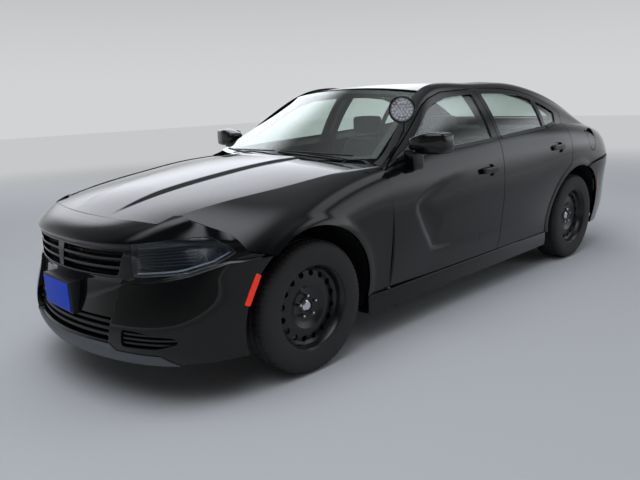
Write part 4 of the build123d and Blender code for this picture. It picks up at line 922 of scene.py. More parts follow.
class PATROL_OT_shell(bpy.types.Operator):
    """Roof, body sides, front wings and covers"""

    bl_idname = "patrol.shell"
    bl_label = "Body shell"

    def execute(self, context):
        s = settings()
        thick, gap = s.panel_thickness / MM, s.shut_gap / MM
        coat = paint()
        skin = side_panel("side_skin", steps(930, -2410), side_vs(), thick, reach=BODY_REACH, cuts=[
            grown(FRONT_DOOR, gap), circle(*REAR_AXLE, ARCH_RADIUS), grown(REAR_BUMPER_ZONE, 3)])
        opening = prism(grown(REAR_DOOR, gap), SIDE_VIEW, *BODY_REACH)
        carve(opening, prism(circle(*REAR_AXLE, ARCH_DOOR_RADIUS - gap), SIDE_VIEW, 100, 1400))
        soften(carve(skin, opening))
        openings = [grown(FRONT_DOOR, -30), grown(REAR_DOOR, -30), circle(*REAR_AXLE, 470)]
        jamb = side_panel("jamb", steps(920, -1500, 40), side_vs(0, 2.6, 40), 55, 30, cuts=openings,
                          reach=BODY_REACH)
        sill = block("sill", (-1054, 800, 190), (1110, 890, 300), bevel=7)
        strip = block("sill_strip", (-1054, 880, 297), (1110, 896, 303), bevel=2)
        sills = joined("sills", jamb, sill, strip)
        right = joined("body_side_right_skin", mirrored(skin, "right_skin"), mirrored(sills, "right_sills"))
        carve(skin, prism(flattened(circle(*FILLER, 83), FLAP_EDGE_X + gap), SIDE_VIEW, *BODY_REACH))
        left = joined("body_side_left_skin", soften(skin), sills)
        for obj, name in ((left, "left"), (right, "right")):
            dress(obj, coat, "body", f"body_side_{name}", slot="black_paint")
        mouth = Vector(side_surface(np.array([FILLER[0]]), np.array([0.77]))[0, 0])
        lean = Vector((0, math.cos(FILLER_LEAN), math.sin(FILLER_LEAN)))
        hollow = [(90, -12), (82, -52), (0.5, -52), (0.5, -56), (86, -56), (95, -12)]
        bowl = turned("bowl", hollow, mouth, lean)
        cap = turned("cap", [(0.5, -24), (26, -25), (32, -31), (34, -52), (0.5, -52)], mouth, lean, 48)
        dress(joined("filler_pocket", bowl, cap), trim_plastic(), "body", slot="black_plastic")

        wing = panel("wing", wing_surface, steps(924, 2130), np.linspace(0, 1, 44), (0, 1, 0), thick,
                     cuts=[circle(*FRONT_AXLE, ARCH_RADIUS), grown(NOSE_ZONE, 3)], reach=BODY_REACH)
        dress_pair(wing, "front_wing_{}_skin", coat, "body", "front_wing_{}", slot="black_paint")
        roof = panel("roof_skin", roof_surface, steps(236, -1086), np.linspace(-1, 1, 61), (0, 0, 1), thick)
        dress(roof, coat, "body", "roof", slot="black_paint")
        self.front_cover(coat, thick)
        self.rear_cover(coat, thick)
        self.shields()
        return {"FINISHED"}

    def front_cover(self, coat, thick):
        """The front bumper cover, open for the grilles, lamps, markers, bonnet and wheels."""
        fine = np.linspace(0.31, 0.38, 29)
        across = np.unique(np.concatenate((np.linspace(-1, 1, 221), fine, -fine)))
        up = np.unique(np.concatenate((steps(234, 908, 10), np.arange(604.0, 716.0, 3.5))))
        nose = nose_panel("front_cover", across, up, thick, cuts=[rounded(GRILLE, 26), rounded(INTAKE, 22)])
        for sign in (1, -1):
            view = tuple(Vector((v.x, v.y * sign, v.z)) for v in LAMP_VIEW)
            carve(nose, prism(rounded(grown(HEADLAMP, 4), 14), view, *LAMP_REACH))
            carve(nose, prism(rounded([(y * sign, z) for y, z in FOG], 16), FRONT_VIEW, *NOSE_REACH))
            carve(nose, prism(rounded(FRONT_MARKER, 8), SIDE_VIEW, *sorted((500 * sign, 1300 * sign))))
        carve(nose, prism(circle(*FRONT_AXLE, ARCH_RADIUS), SIDE_VIEW, *BOTH_SIDES))
        arc = [(2212 + 95 * (1 - (y / 640) ** 2), y) for y in np.linspace(-586, 586, 33)]
        edges = [(2130, 606), (1900, 662), (1500, 742), (1500, -742), (1900, -662), (2130, -606)]
        carve(nose, prism([*arc, *edges], PLAN_VIEW, 780, 1200))
        behind = [(1600, 100), (1700, 100), (1787, 687), (1955, 739), (2007, 827), (2117, 897), (2117, 1300),
                  (1600, 1300)]
        carve(nose, prism(behind, SIDE_VIEW, *BOTH_SIDES))
        dress(nose, coat, "body", "front_bumper", slot="black_paint")

    def rear_cover(self, coat, thick):
        """The rear bumper cover with its plate pocket and lower valance."""
        tail = panel("rear_cover", tail_surface, np.linspace(-1, 1, 161), steps(234, 884, 18), (-1, 0, 0),
                     thick, keep=grown(REAR_BUMPER_ZONE, -1), cuts=[circle(*REAR_AXLE, ARCH_RADIUS)],
                     reach=BOTH_SIDES)
        carve(tail, prism(rounded(PLATE_POCKET, 24), FRONT_VIEW, -2700, -2300))
        for y0, y1 in ((500, 1300), (-1300, -500)):
            carve(tail, prism(rounded(REAR_MARKER, 8), SIDE_VIEW, y0, y1))
        pocket = block("plate_pocket", (-2500, -210, 525), (-2450, 210, 725), 3)
        carve(pocket, prism(rounded(PLATE_POCKET, 24), FRONT_VIEW, -2700, -2468))
        cover = joined("rear_cover", soften(tail), soften(pocket))
        dress(cover, coat, "body", "rear_bumper", slot="black_paint")
        valance = tail_panel("rear_valance", np.linspace(-0.6, 0.6, 121), steps(234, 330, 8), 14, -3,
                             rounded([(-640, 232), (640, 232), (570, 322), (-570, 322)], 20))
        dress(valance, lip_plastic(), "body", slot="black_trim")

    def shields(self):
        """Splash shields ahead of the front wheels, lips inside the arches and a tray under the nose."""
        shield = soften(prism(arc_band(FRONT_AXLE, 449, 455, -14, 57), SIDE_VIEW, 436, 880, "splash_shield"))
        band = arc_band(FRONT_AXLE, ARCH_RADIUS + 1, 452, 52, 184)
        front_lip = panel("front_lip", wing_surface, steps(1100, 2010, 14), np.linspace(0, 1, 60), (0, 1, 0),
                          76, depth=7, keep=band, reach=(400, 1300))
        band = arc_band(REAR_AXLE, ARCH_RADIUS + 1, 452, -4, 176)
        rear_lip = side_panel("rear_lip", steps(-1040, -1960, 14), side_vs(0, 1, 12), 76, 7, band,
                              reach=(400, 1300))
        rim = nose_surface(np.linspace(-0.8, 0.8, 61), np.array([242.0]))[:, 0]
        tray = prism([(x - 16, y * 0.98) for x, y, z in rim], PLAN_VIEW, 237, 243, "undertray")
        shields = joined("splash_shields", shield, front_lip, rear_lip)
        shields = joined("splash_shields", shields, mirrored(shields, "right"), tray)
        dress(shields, trim_plastic(), "body", slot="black_plastic")


class PATROL_OT_lids(bpy.types.Operator):
    """Bonnet, boot lid and fuel flap"""

    bl_idname = "patrol.lids"
    bl_label = "Bonnet, boot lid and flap"

    def execute(self, context):
        thick = settings().panel_thickness / MM
        coat = paint()
        front = [(2205 + 95 * (1 - (y / 640) ** 2), y) for y in np.linspace(700, -700, 41)]
        rear = [(952 + 160 * (1 - (y / 830) ** 2), y) for y in np.linspace(-840, 840, 41)]
        bonnet = panel("bonnet_skin", bonnet_surface, steps(930, 2350), np.linspace(-1, 1, 111), (0, 0, 1),
                       thick, keep=[*front, *rear], view=PLAN_VIEW, reach=(600, 1400))
        dress(bonnet, coat, "bonnet_body", "bonnet", slot="black_paint")

        ends = [(-2484 + 44 * abs(y / 520) ** 2.4, y) for y in np.linspace(-606, 606, 41)]
        start = [(-1948 - 75 * (1 - (y / 648) ** 2), y) for y in np.linspace(660, -660, 31)]
        top = panel("lid_top", lid_surface, steps(-1930, -2486), np.linspace(-1, 1, 81), (0, 0, 1), thick,
                    keep=[*ends, *start], view=PLAN_VIEW, reach=(900, 1400))
        back = tail_panel("lid_back", np.linspace(-0.42, 0.42, 81), steps(876, 1090, 10), thick, 0,
                          [(-500, 875), (500, 875), (500, 1090), (-500, 1090)], [rounded(MID_LAMP, 16)])
        dress(joined("boot_lid_skin", top, back), coat, "boot_lid_body", "boot_lid", slot="black_paint")

        flap = side_panel("flap", steps(-1680, -1850, 12), side_vs(0.6, 1.2, 12), 8, 0.5,
                          flattened(circle(*FILLER, 76.5), FLAP_EDGE_X), reach=(500, 1300))
        dress(flap, coat, "fuel_flap_body", "fuel_flap", slot="black_paint")
        return {"FINISHED"}


class PATROL_OT_doors(bpy.types.Operator):
    """Four doors with their inner boxes, handles and glass"""

    bl_idname = "patrol.doors"
    bl_label = "Doors and side glass"

    def execute(self, context):
        s = settings()
        thick, pane = s.panel_thickness / MM, s.glass_thickness / MM
        arch, inner_arch = circle(*REAR_AXLE, ARCH_DOOR_RADIUS), circle(*REAR_AXLE, ARCH_DOOR_RADIUS + 30)
        table = (("front", FRONT_DOOR, (FRONT_WINDOW,), (926, -340), (-116, 903), (), ()),
                 ("rear", REAR_DOOR, (REAR_WINDOW, QUARTER_WINDOW), (-280, -1440), (-1116, 979), (arch,),
                  (inner_arch,)))
        for where, outline, windows, (x0, x1), grip, cuts, inner_cuts in table:
            holes = [rounded(w, 18) for w in windows]
            skin = side_panel("skin", steps(x0, x1), side_vs(), thick, 0, outline, [*holes, *cuts])
            inner = side_panel("inner", steps(x0, x1, 40), side_vs(0, 1.0, 40), 86, thick + 0.5,
                               grown(outline, -42), inner_cuts)
            door = joined("door", skin, inner, *self.handle(skin, *grip))
            dress_pair(door, where + "_door_{}_skin", paint(), where + "_door_{}_body", where + "_door_{}",
                       slot="black_paint")
            trims = []
            for (ax, az), (bx, bz) in [(w[0], w[-1]) for w in windows]:
                strip = [(ax, az - 15), (ax, az + 5), (bx, bz + 5), (bx, bz - 15)]
                trims.append(side_panel("belt_trim", steps(max(ax, bx) + 20, min(ax, bx) - 20, 20),
                                        side_vs(0.85, 1.3, 8), 9, -4, strip))
            dress_pair(joined("belt_trim", *trims), where + "_belt_trim_{}", trim_plastic(),
                       where + "_door_{}_body", slot="black_trim")
            panes = [side_panel("pane", steps(x0, x1, 30), side_vs(0.97, 2.0, 24), pane, 9, grown(h, 5))
                     for h in holes]
            dress_pair(joined("pane", *panes), where + "_pane_{}", glass(), where + "_door_{}_body",
                       where + "_door_glass_{}", slot="tinted_glass")
        return {"FINISHED"}

    def handle(self, skin, x, z):
        """A pull handle on posts, over a cup sunk into the door's skin."""
        v = np.interp([z], [300, 765, 1040, 1120], [0, 0.57, 0.9, 1])
        y = float(side_surface(np.array([x]), v)[0, 0, 1])
        grip = pillow("grip", (x - 104, y + 4, z - 22), (x + 104, y + 34, z + 22), crown=0.7)
        posts = [block("post", (px - 16, y - 12, z - 12), (px + 16, y + 16, z + 12), bevel=5)
                 for px in (x - 78, x + 78)]
        carve(skin, prism(rounded(bar_outline(x, z - 4, 132, 80), 34), SIDE_VIEW, 700, 1300))
        cup = side_panel("cup", steps(x - 90, x + 90, 12), side_vs(0.5, 1.0, 12), 6, 15,
                         bar_outline(x, z - 4, 150, 98), reach=(700, 1300))
        soften(skin)
        return grip, cup, *posts


class PATROL_OT_screens(bpy.types.Operator):
    """Windshield, rear window and wipers"""

    bl_idname = "patrol.screens"
    bl_label = "Screens"

    def execute(self, context):
        pane = settings().glass_thickness / MM
        across = np.linspace(-1, 1, 61)
        for name, rows, node_name, way in (("windshield_pane", WINDSHIELD_ROWS, "windshield", (1, 0, 1)),
                                           ("backlight_pane", BACKLIGHT_ROWS, "rear_window", (-1, 0, 1))):
            screen, last = partial(screen_surface, rows), len(rows) - 1
            along = np.linspace(0, last, 41)
            obj = panel(name, screen, along, across, way, pane)
            dress(obj, glass(), "body", node_name, slot="tinted_glass")
            border = panel(name + "_frit", screen, along, across, way, 1.2, depth=pane + 0.3)
            inside = np.linspace(0.12, last - 0.1, 41)
            inner = panel("hole", screen, inside, 0.94 * across, way, 40, depth=-15)
            dress(soften(carve(border, inner)), gloss_plastic(), "body", slot="black_trim")
        arms = []
        for y0, y1 in ((620, 60), (-20, -560)):
            x0, x1 = 1075 - 0.00019 * y0 * y0, 1068 - 0.00019 * y1 * y1
            arms.append(tube("wiper", [(x0 + 6, y0, 1060), (x1 - 40, y1, 1092)], 7))
            arms.append(tube("blade", [(x0 - 60, y0 + 20, 1098 - 0.00004 * y0 * y0),
                                       (x1 - 60, y1, 1098 - 0.00004 * y1 * y1)], 5))
        dress(joined("wipers", *arms), trim_plastic(), "body", slot="black_plastic")
        return {"FINISHED"}


class PATROL_OT_lamps(bpy.types.Operator):
    """Headlamps, markers, tail lamps and their inner parts"""

    bl_idname = "patrol.lamps"
    bl_label = "Lamps"

    def execute(self, context):
        self.headlamps()
        for end, on, outline, count, zs, material, slot in (
                ("front", nose_surface, FRONT_MARKER, 40, steps(470, 640, 8), amber_lens(), "amber_lens"),
                ("rear", tail_surface, REAR_MARKER, 60, steps(510, 720, 8), red_lens(), "red_lens")):
            marker = panel("marker", on, np.linspace(0.7, 1, count), zs, (0, 1, 0), 10, depth=-2,
                           keep=rounded(grown(outline, -1), 8), reach=(500, 1300))
            dress(both_sides(end + "_marker_lenses", marker), material, "body", end + "_markers", slot=slot)

        zs = steps(872, 1004, 8)
        outer, middle = np.linspace(0.3, 0.75, 50), np.linspace(-0.4, 0.4, 90)
        for name, outline, body, node_name, ts, (y0, y1), gather in (
                ("tail_lamp", TAIL_LAMP, "body", "tail_lamps", outer, (530, 706), both_sides),
                ("lid_lamp", MID_LAMP, "boot_lid_body", "lid_lamp", middle, (-470, 470), joined)):
            lamp = gather(name + "_lens", tail_panel(name, ts, zs, 16, 0, rounded(outline, 16)))
            dress(lamp, red_lens(), body, node_name, slot="red_lens")
            ribs = [tail_panel("rib", ts, zs, 5, -2.5, bar_outline((y0 + y1) / 2, z, y1 - y0, 5))
                    for z in (914, 938, 962)]
            dress(gather(name + "_ribs", *ribs), red_lens(), body, slot="red_lens")
        around = tail_panel("lamp_surround", np.linspace(0.3, 0.72, 50), steps(872, 1056, 10), 16, 0,
                            [(503, 872), (760, 872), (760, 1052), (503, 1052)],
                            [rounded(grown(TAIL_LAMP, 3), 16)])
        dress(both_sides("tail_corners", around), paint(), "body", slot="black_paint")
        return {"FINISHED"}

    def headlamps(self):
        """Clear lenses over grey bowls with fins, two cups and a light strip along the lower edge."""
        lens = lamp_panel("lens", 4, 0, rounded(grown(HEADLAMP, 1), 14))
        dress(both_sides("headlamp_lenses", lens), lens_clear(), "body", "headlamps", slot="lamp_lens")
        grey = finish("metallised_grey_plastic", "#5e6368", 0.34, grain_mm=18, shade="#747a80", Metallic=0.4)
        bowl = lamp_panel("bowl", 6, 48, rounded(grown(HEADLAMP, 12), 14))
        wall = lamp_panel("wall", 46, 6, rounded(grown(HEADLAMP, 14), 14), [rounded(HEADLAMP, 14)])
        dress(both_sides("headlamp_bowls", bowl, wall), grey, "body", slot="black_plastic")
        fins = [lamp_panel("fin", 14, 16, [(-1075, z - 1.5), (-800, z + 8.5), (-800, z + 11.5),
                                           (-1075, z + 1.5)]) for z in range(684, 769, 14)]
        dress(both_sides("headlamp_fins", *fins), grey, "body", slot="black_plastic")
        low = [(-1080, 650), (-900, 660), (-845, 668), (-715, 704), (-640, 745), (-642, 749), (-718, 709),
               (-847, 674), (-900, 666), (-1080, 656)]
        frosted = finish("frosted_acrylic", "#e2e5e8", 0.3, grain_mm=8, shade="#f2f4f6")
        strip = lamp_panel("strip", 8, 14, low)
        dress(both_sides("daylight_strips", strip), frosted, "body", slot="lamp_lens")
        cups = []
        for t in (0.60, 0.70):
            spot = Vector(nose_surface(np.array([t]), np.array([730.0]))[0, 0]) - LAMP_VIEW[2] * 40
            cups.append(turned("cup", [(6, -14), (34, 4), (38, 12), (40, 12), (36, 2), (8, -18)], spot,
                               LAMP_VIEW[2], 40))
        dress(both_sides("reflector_cups", *cups), grey, "body", slot="bright_metal")


class PATROL_OT_front(bpy.types.Operator):
    """Grille, lower intake, fog pockets, plate and chin spoiler"""

    bl_idname = "patrol.front"
    bl_label = "Grille and front trim"

    def execute(self, context):
        dull = trim_plastic()
        wide, grille_zs, intake_zs = np.linspace(-0.5, 0.5, 90), steps(600, 800, 8), steps(300, 460, 8)
        rim = nose_panel("rim", wide, grille_zs, 34, 3, rounded(GRILLE, 26),
                         [rounded(grown(GRILLE, -9), 18)])
        bars = [nose_panel("bar", wide, grille_zs, 22, 8, bar_outline(0, z, 980, 12)) for z in (680, 722)]
        post = nose_panel("post", wide, grille_zs, 22, 6, [(-22, 634), (22, 634), (34, 768), (-34, 768)])
        dress(joined("grille_frame", rim, *bars, post), gloss_plastic(), "body", "grille",
              slot="black_plastic")
        mesh = [nose_panel("wire", wide[::2], np.array((z, z + 1.5, z + 3.0)), 4, 40)
                for z in np.arange(640, 768, 14)]
        for y in np.arange(-490, 491, 20):
            x = float(np.interp(abs(y), (0, 505), (2440, 2325)))
            mesh.append(block("wire", (x - 44, y - 2, 636), (x - 38, y + 2, 768), 0.8, 1))
        dress(joined("grille_mesh", *mesh), dull, "body", slot="black_plastic")
        back = nose_panel("back", wide, steps(300, 460, 20), 6, 52, grown(INTAKE, 8))
        slats = [nose_panel("slat", wide, intake_zs, 26, 14, bar_outline(0, z, 900, 14))
                 for z in (350, 382, 414)]
        dress(joined("intake_slats", back, *slats), dull, "body", "lower_grille", slot="black_plastic")
        ts = np.linspace(0.3, 0.8, 70)
        fog = [nose_panel("pocket", ts, steps(300, 420, 10), 6, 44, grown(FOG, 8))]
        fog += [nose_panel("slat", ts, steps(300, 420, 6), 26, 10, bar_outline(642.5, z, 275, 10))
                for z in (340, 362, 384)]
        dress(both_sides("fog_slats", *fog), dull, "body", slot="black_plastic")
        lip = [(742, 228), (690, 282), (470, 290), (440, 322), (418, 312)]
        chin = nose_panel("chin", np.linspace(-0.66, 0.66, 121), steps(228, 324, 8), 18, -5,
                          lip + [(-y, z) for y, z in reversed(lip)])
        dress(chin, lip_plastic(), "body", slot="black_trim")
        bracket = block("plate_bracket", (2436, -162, 417), (2501, 162, 585), 6)
        dress(bracket, dull, "body", slot="black_plastic")
        plate = block("plate", (2501, -150, 428), (2506, 150, 574), 3)
        dress(plate, blue_plate(), "body", "front_plate", slot="blue_plate")
        return {"FINISHED"}


class PATROL_OT_mirrors(bpy.types.Operator):
    """Door mirrors and the pillar spotlight"""

    bl_idname = "patrol.mirrors"
    bl_label = "Mirrors and spotlight"

    def execute(self, context):
        cap = pillow("cap", (590, 862, 1076), (734, 1116, 1210), crown=1.0)
        places = points_of(cap)
        inner = 1 - ease(places[:, 1] / MM, 860, 1010)
        places[:, 2] -= (places[:, 2] - 1.120) * 0.34 * inner
        places[:, 0] -= 0.030 * ease(places[:, 1] / MM, 960, 1116)
        set_points(cap, places)
        foot = pillow("foot", (640, 846, 985), (738, 942, 1112), crown=0.5)
        dress_pair(joined("mirror", cap, foot), "mirror_{}_cap", paint(), "front_door_{}_body", "mirror_{}",
                   slot="black_paint")
        face = pillow("face", (574, 930, 1092), (590, 1090, 1196), crown=0.2)
        dress_pair(face, "mirror_{}_glass", mirror_glass(), "front_door_{}_body", slot="bright_metal")

        aim = math.radians(30)
        way = Vector((math.cos(aim), math.sin(aim), 0))
        cross = UP.cross(way)
        centre = Vector((690, 815, 1340))
        shell = [(14, -46), (46, -40), (68, -22), (76, 4), (80, 16), (80, 30), (76, 33), (70, 33), (70, 22),
                 (14, 18)]
        drum = turned("drum", shell, centre, way)
        dress(drum, gloss_plastic(), "spotlight_body", "spotlight", slot="black_plastic")
        cover = [(0.5, 27), (20, 28), (45, 26), (69, 23), (69, 20), (0.5, 20)]
        lens = turned("spotlight_lens", cover, centre, way)
        dress(lens, led_lens(), "spotlight_body", slot="lamp_lens")
        beads = []
        for ring, count in ((0, 1), (20, 6), (39, 12), (58, 18)):
            for i in range(count):
                a = 2 * math.pi * i / count
                at = centre + way * 26 + cross * ring * math.cos(a) + UP * ring * math.sin(a)
                beads.append(turned("bead", [(0.5, 4), (5, 3), (7.5, 0), (7.5, -4), (0.5, -4)], at, way, 14))
        acrylic = finish("moulded_clear_acrylic", "#c2c5ca", 0.1, grain_mm=9, shade="#d6d9dd")
        dress(joined("spotlight_beads", *beads), acrylic, "spotlight_body", slot="lamp_lens")
        stem = tube("spotlight_arm", [(585, 740, 1204), (612, 760, 1232), (650, 792, 1266), (682, 812, 1272),
                                      (690, 815, 1290)], 10)
        ring = [(0.5, -14), (17, -12), (18, 10), (12, 14), (0.5, 14)]
        collar = turned("collar", ring, (690, 815, 1284), UP, 32)
        dress(joined("spotlight_arm", stem, collar), chrome(), "body", "spotlight_stem", slot="bright_metal")
        return {"FINISHED"}


class PATROL_OT_wheels(bpy.types.Operator):
    """Steel wheels and treaded tyres"""

    bl_idname = "patrol.wheels"
    bl_label = "Wheels and tyres"

    def execute(self, context):
        tread = self.tread(settings().tread_blocks * 3)
        disc = [(34, 26), (34, 44), (44, 46), (52, 38), (80, 38), (96, 44), (120, 56), (150, 54), (190, 46),
                (206, 60), (214, 84), (222, 96), (230, 104), (234, 100), (229, 94), (229, -104), (222, -104),
                (214, -90), (203, -50), (202, 20), (196, 32), (150, 42), (118, 44), (94, 32), (80, 27)]
        wheel = turned("rim", disc, (0, 0, 0), SIDEWAYS, 96)
        for place in ring_places(VENTS, VENT_RING, 0.5):
            carve(wheel, turned("hole", [(0.1, 10), (17, 10), (17, 90), (0.1, 90)], place, SIDEWAYS, 20))
        soften(wheel, 30)
        nut = [(0.5, 62), (7, 60), (11, 54), (11, 34), (0.5, 34)]
        nuts = joined("nuts", *[turned("nut", nut, place, SIDEWAYS, 6)
                                for place in ring_places(NUTS, NUT_RING, NUTS / 4)])
        cap = turned("cap", [(0.5, 50), (22, 48), (30, 42), (33, 30), (0.5, 30)], (0, 0, 0), SIDEWAYS, 32)
        for end, (ax, az), y in (("front", FRONT_AXLE, FRONT_WHEEL_Y), ("rear", REAR_AXLE, REAR_WHEEL_Y)):
            for side, sign in zip(SIDES, (1, -1)):
                move = Matrix.Translation(Vector((ax, y * sign, az)) * MM)
                if sign < 0:
                    move = move @ Matrix.Rotation(math.pi, 4, "Z")
                body = f"{end}_wheel_{side}_body"
                dress(copied(tread, f"{end}_tread_{side}", move), rubber(), body, f"{end}_tyre_{side}",
                      slot="tyre_rubber")
                dress(copied(wheel, f"{end}_rim_{side}", move), wheel_steel(), body, f"{end}_wheel_{side}",
                      slot="wheel_steel")
                dress(copied(nuts, f"{end}_nuts_{side}", move), chrome(), body, slot="bright_metal")
                dress(copied(cap, f"{end}_hub_cap_{side}", move), chrome(), body, slot="bright_metal")
        for obj in (tread, wheel, nuts, cap):
            bpy.data.objects.remove(obj)
        return {"FINISHED"}

    def tread(self, count):
        """A tyre with four grooves round it and cross cuts at every third of its steps."""
        wall = [(226, 100), (232, 108), (250, 112), (300, 114), (330, 110), (346, 100), (353, 88)]
        profile = list(wall)
        for y in (70, 24, -24, -70):
            profile += [(356.5, y + 8), (348, y + 6), (348, y - 6), (356.5, y - 8)]
        profile += [(r, -y) for r, y in reversed(wall)]
        tyre = turned("tyre", profile, (0, 0, 0), SIDEWAYS, count)
        places = points_of(tyre)
        radius = np.hypot(places[:, 0], places[:, 2]) / MM
        turn = np.rint(np.arctan2(places[:, 2], places[:, 0]) / (2 * math.pi) * count).astype(int)
        cut = (turn % 3 == 0) & (radius > 340) & (np.abs(places[:, 1]) > 0.028)
        places[cut] *= np.where(radius[cut] > 352, 1 - 7 / 356, 1 - 5 / 346)[:, None] * (1, 0, 1) + (0, 1, 0)
        set_points(tyre, places)
        return tyre


class PATROL_OT_cabin(bpy.types.Operator):
    """Padded seats and finishes of the parts kept from the frame"""

    bl_idname = "patrol.cabin"
    bl_label = "Cabin and running gear"

    def execute(self, context):
        seats, bench = [], []
        for y in (370, -370):
            seats.append(pillow("base", (-150, y - 255, 330), (430, y + 255, 520), crown=0.5))
            seats.append(self.rest((-75, y - 250, 0), (75, y + 250, 640), 0.6, (-205, 0, 455), -12))
            seats.append(pillow("head", (-372, y - 130, 1112), (-262, y + 130, 1262), crown=0.6))
        for y in (305, -305):
            bench.append(pillow("base", (-1050, y - 306, 330), (-505, y + 306, 522), crown=0.5))
            bench.append(self.rest((-70, y - 306, 0), (70, y + 306, 590), 0.5, (-1030, 0, 470), -13))
        dress(joined("front_seat_cushions", *seats), cloth(), "body", "front_seats", slot="seat_cloth")
        dress(joined("rear_bench_cushions", *bench), cloth(), "body", "rear_bench", slot="seat_cloth")
        for material, names in (
                (trim_plastic, ("dashboard", "steering_wheel", "cowl", "wheel_liners")),
                (carpet, ("floor",)), (underseal, ("front_frame",)), (exhaust_steel, ("exhaust",)),
                (iron, ("engine", "rear_axle", "front_knuckle_left", "front_knuckle_right"))):
            for name in names:
                obj = bpy.data.objects[name]
                obj.data.materials.clear()
                obj.data.materials.append(material())
        return {"FINISHED"}

    def rest(self, low, high, crown, place, degrees):
        """A seat's back, made upright, leant by an angle and put in its place."""
        back = pillow("back", low, high, crown)
        lean = Matrix.Rotation(math.radians(degrees), 4, "Y")
        back.data.transform(Matrix.Translation(Vector(place) * MM) @ lean)
        return back


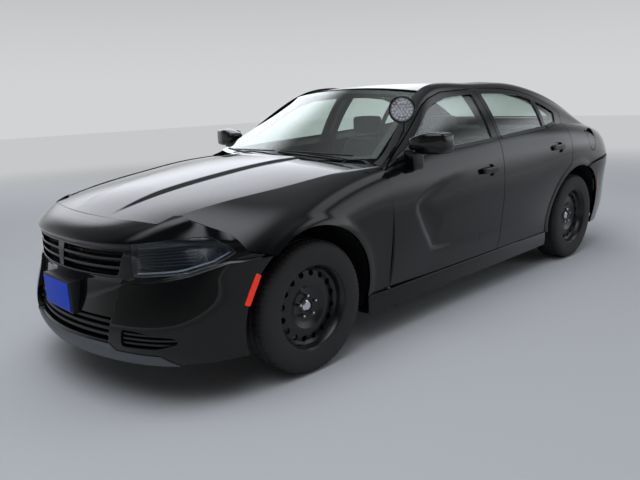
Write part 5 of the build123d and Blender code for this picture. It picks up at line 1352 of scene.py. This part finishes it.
class PATROL_OT_stage(bpy.types.Operator):
    """Plain pale floor, soft lights and the camera"""

    bl_idname = "patrol.stage"
    bl_label = "Studio"

    def execute(self, context):
        s = settings()
        floor = self.floor(s.floor_colour)
        lights = [soft_light(*row) for row in (
            ("overhead", (3.2, 1.2, 6.5), (0.5, 0.2, 0.4), (7.0, 9.5), s.key_radiance),
            ("far_bank", (-3.6, -7.4, 4.8), (1.0, -0.2, 1.0), (17.0, 6.4), 2.0),
            ("left_bank", (-7.5, 6.2, 3.2), (-3.0, 0.9, 0.9), (16.0, 5.6), 1.1),
            ("left_high", (-6.0, 5.0, 7.4), (-0.5, 0.8, 1.2), (10.0, 4.4), 1.4),
            ("ceiling", (0.0, 0.0, 9.0), (0.0, 0.0, 0.0), (16.0, 16.0), 0.4))]
        self.air(context.scene)
        context.scene.view_settings.view_transform = "Standard"
        camera = self.camera()
        context.scene.collection.objects.link(camera)
        context.scene.camera = camera
        return {"FINISHED"}

    def floor(self, colour):
        """A wide floor that fades into an even glow far from the car."""
        floor = added("studio_floor", bpy.ops.mesh.primitive_plane_add, size=60, location=(0, 0, 0))
        ground, tree = empty_material("painted_studio_floor")
        place = add(tree, "ShaderNodeTexCoord", {}, {})
        away = add(tree, "ShaderNodeVectorMath", {"operation": "LENGTH"}, {0: place.outputs["Object"]})
        far = smooth(tree, away.outputs["Value"], 5.0, 13.0, 0.0, 1.0)
        near = add(tree, "ShaderNodeBsdfDiffuse", {}, {"Color": colour})
        glow = add(tree, "ShaderNodeEmission", {}, {"Color": linear("#c6c8ca"), "Strength": 1.0})
        mix = add(tree, "ShaderNodeMixShader", {}, {
            0: far, 1: near.outputs["BSDF"], 2: glow.outputs["Emission"]})
        add(tree, "ShaderNodeOutputMaterial", {}, {"Surface": mix.outputs["Shader"]})
        floor.data.materials.append(ground)
        return floor

    def air(self, scene):
        """Light from all round: pale at the horizon, darker above and towards the front left."""
        world = bpy.data.worlds.new("studio_air")
        scene.world = world
        world.use_nodes = True
        tree = world.node_tree
        tree.nodes.clear()
        place = add(tree, "ShaderNodeTexCoord", {}, {})
        way = add(tree, "ShaderNodeSeparateXYZ", {}, {0: place.outputs["Generated"]})
        facing = add(tree, "ShaderNodeVectorMath", {"operation": "DOT_PRODUCT"}, {
            0: place.outputs["Generated"], 1: (0.707, 0.707, 0.0)})
        level = add(tree, "ShaderNodeMath", {"operation": "MULTIPLY"}, {
            0: smooth(tree, way.outputs["Z"], 0.0, 0.5, 0.72, 0.2),
            1: smooth(tree, facing.outputs["Value"], -0.3, 0.4, 1.0, 0.3)})
        back = add(tree, "ShaderNodeBackground", {}, {
            "Color": linear("#f2f4f6"), "Strength": level.outputs[0]})
        add(tree, "ShaderNodeOutputWorld", {}, {"Surface": back.outputs["Background"]})

    def camera(self):
        """The camera where the photograph was taken from."""
        data = bpy.data.cameras.new("photo_camera")
        data.sensor_width = SENSOR_WIDTH
        data.lens = FOCAL_PIXELS / PICTURE_WIDTH * SENSOR_WIDTH
        data.shift_x, data.shift_y = SHIFT_PIXELS[0] / PICTURE_WIDTH, SHIFT_PIXELS[1] / PICTURE_WIDTH
        camera = bpy.data.objects.new("photo_camera", data)
        yaw, pitch, roll = [math.radians(a) for a in CAMERA_ANGLES]
        ahead = Vector((math.cos(pitch) * math.cos(yaw), math.cos(pitch) * math.sin(yaw), math.sin(pitch)))
        right = ahead.cross(UP).normalized()
        up = right.cross(ahead)
        rolled_right = right * math.cos(roll) + up * math.sin(roll)
        rolled_up = up * math.cos(roll) - right * math.sin(roll)
        turn = Matrix((rolled_right, rolled_up, -ahead)).transposed().to_4x4()
        camera.matrix_world = Matrix.Translation(Vector(CAMERA_PLACE) * MM) @ turn
        return camera


class PATROL_PT_panel(bpy.types.Panel):
    """The car's settings and steps in the sidebar"""

    bl_idname = "PATROL_PT_panel"
    bl_label = "Patrol car"
    bl_space_type = "VIEW_3D"
    bl_region_type = "UI"
    bl_category = "Patrol car"

    def draw(self, context):
        for name in PatrolCarSettings.__annotations__:
            self.layout.prop(context.scene.patrol_car, name)
        for step in STEPS:
            self.layout.operator(step.bl_idname)


STEPS = (PATROL_OT_shell, PATROL_OT_lids, PATROL_OT_doors, PATROL_OT_screens, PATROL_OT_lamps,
         PATROL_OT_front, PATROL_OT_mirrors, PATROL_OT_wheels, PATROL_OT_cabin, PATROL_OT_stage)
CLASSES = (PatrolCarSettings, *STEPS, PATROL_PT_panel)


def register():
    """Makes the settings, steps and panel known."""
    for cls in CLASSES:
        bpy.utils.register_class(cls)
    bpy.types.Scene.patrol_car = PointerProperty(type=PatrolCarSettings)


def unregister():
    """Takes them away again."""
    del bpy.types.Scene.patrol_car
    for cls in reversed(CLASSES):
        bpy.utils.unregister_class(cls)


def main():
    """Builds every piece and sets the studio."""
    register()
    bpy.ops.patrol.shell()
    bpy.ops.patrol.lids()
    bpy.ops.patrol.doors()
    bpy.ops.patrol.screens()
    bpy.ops.patrol.lamps()
    bpy.ops.patrol.front()
    bpy.ops.patrol.mirrors()
    bpy.ops.patrol.wheels()
    bpy.ops.patrol.cabin()
    bpy.ops.patrol.stage()


if __name__ == "__main__":
    main()
